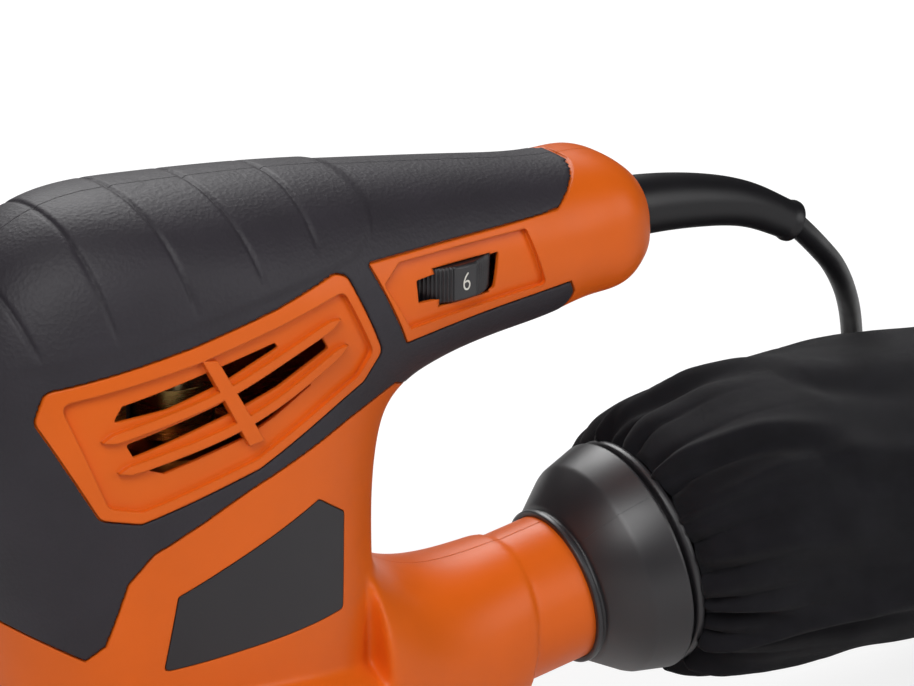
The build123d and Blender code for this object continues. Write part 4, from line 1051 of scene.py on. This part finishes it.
def cloth_shell(name, outer, inner):
    """Mesh of a bag with a cloth's thickness, open at its first ring and closed at its last."""
    rings, size = len(outer), len(outer[0])
    points = [tuple(p) for side in (outer, inner) for ring in side for p in ring]
    faces = []
    for start, way in ((0, 1), (rings * size, -1)):
        for i in range(rings - 1):
            for j in range(size):
                here, beside = start + i * size + j, start + i * size + (j + 1) % size
                faces.append([here, beside, beside + size, here + size][::way])
        faces.append([start + (rings - 1) * size + j for j in range(size)][::way])
    for j in range(size):
        k = (j + 1) % size
        faces.append([j, rings * size + j, rings * size + k, k])
    return outward(make_mesh(name, points, faces))


def make_bag():
    """Gathered cloth bag: puckers at its neck, long soft folds and slack along its sides."""
    share, rows = bag_rings()
    angles = np.linspace(0, tau, BAG_STEPS, endpoint=False)
    places, normals = bag_surface(rows, angles)
    rise = neck_puckers(share, angles) + bag_folds(share, angles) + bag_slack(share, places)
    rise -= np.interp(share * BAG_LENGTH, *zip(*DRAWN_IN))[:, None]
    places += normals * rise[:, :, None]
    bag = smooth(cloth_shell("filter_bag", places, places - normals * BAG_THICKNESS), 80)
    dress(bag, "bag_cloth", "bag", "dust_bag")


make_bag()


# ---------------------------------------------------------------- floor and light
FLOOR_REACH, FLOOR_LEVEL = 6, -0.0002
FLOOR_COLOUR = (0.8, 0.8, 0.8, 1)           # as the object's light meets it
FLOOR_SEEN_COLOUR = (0.3, 0.3, 0.3, 1)      # as the camera sees it, with its glow added
FLOOR_GLOW = 0.8
WORLD_LIGHT, WORLD_SEEN = 0.55, 1.0         # strength for the object, and as the camera sees it


def make_floor():
    """Plain pale floor, which the camera sees nearly white with the object's shadow on it."""
    mesh = bpy.data.meshes.new("floor")
    low, high = -FLOOR_REACH, FLOOR_REACH
    corners = [(x, y, FLOOR_LEVEL) for x, y in ((low, low), (high, low), (high, high), (low, high))]
    mesh.from_pydata(corners, [], [(0, 1, 2, 3)])
    floor = new_object("floor", mesh)
    material = bpy.data.materials.new("floor")
    material.use_nodes = True
    tree = material.node_tree
    tree.nodes.clear()
    output = tree.nodes.new("ShaderNodeOutputMaterial")
    path = tree.nodes.new("ShaderNodeLightPath")
    plain = tree.nodes.new("ShaderNodeBsdfDiffuse")
    plain.inputs["Color"].default_value = FLOOR_COLOUR
    shaded = tree.nodes.new("ShaderNodeBsdfDiffuse")
    shaded.inputs["Color"].default_value = FLOOR_SEEN_COLOUR
    glow = tree.nodes.new("ShaderNodeEmission")
    glow.inputs["Strength"].default_value = FLOOR_GLOW
    both = tree.nodes.new("ShaderNodeAddShader")
    mix = tree.nodes.new("ShaderNodeMixShader")
    tree.links.new(shaded.outputs[0], both.inputs[0])
    tree.links.new(glow.outputs[0], both.inputs[1])
    tree.links.new(path.outputs["Is Camera Ray"], mix.inputs[0])
    tree.links.new(plain.outputs[0], mix.inputs[1])
    tree.links.new(both.outputs[0], mix.inputs[2])
    tree.links.new(mix.outputs[0], output.inputs[0])
    mesh.materials.append(material)


def make_world():
    """Even light from all round, brighter where the camera sees it as the background."""
    world = bpy.data.worlds.new("world")
    world.use_nodes = True
    tree = world.node_tree
    path = tree.nodes.new("ShaderNodeLightPath")
    strength = tree.nodes.new("ShaderNodeMapRange")
    strength.inputs["To Min"].default_value = WORLD_LIGHT
    strength.inputs["To Max"].default_value = WORLD_SEEN
    tree.links.new(path.outputs["Is Camera Ray"], strength.inputs["Value"])
    tree.links.new(strength.outputs[0], tree.nodes["Background"].inputs["Strength"])
    bpy.context.scene.world = world


LAMPS = [  # name, place, target, size, power
    ("key", (-0.7, -0.75, 1.25), (0.05, 0, 0.1), 0.9, 17),
    ("fill", (0.9, -1.1, 0.7), (0.05, 0, 0.1), 0.9, 8),
    ("rim", (0.35, 1.0, 1.0), (0.05, 0, 0.12), 0.7, 12),
]


def make_lamps():
    """Soft square lamps, each turned to its target."""
    for name, place, target, size, power in LAMPS:
        data = bpy.data.lights.new(name, "AREA")
        data.size = size
        data.energy = power
        lamp = new_object(name, data)
        lamp.location = place
        lamp.rotation_euler = (Vector(target) - Vector(place)).to_track_quat("-Z", "Y").to_euler()


make_floor()
make_world()
make_lamps()
bpy.context.scene.view_settings.view_transform = "Standard"
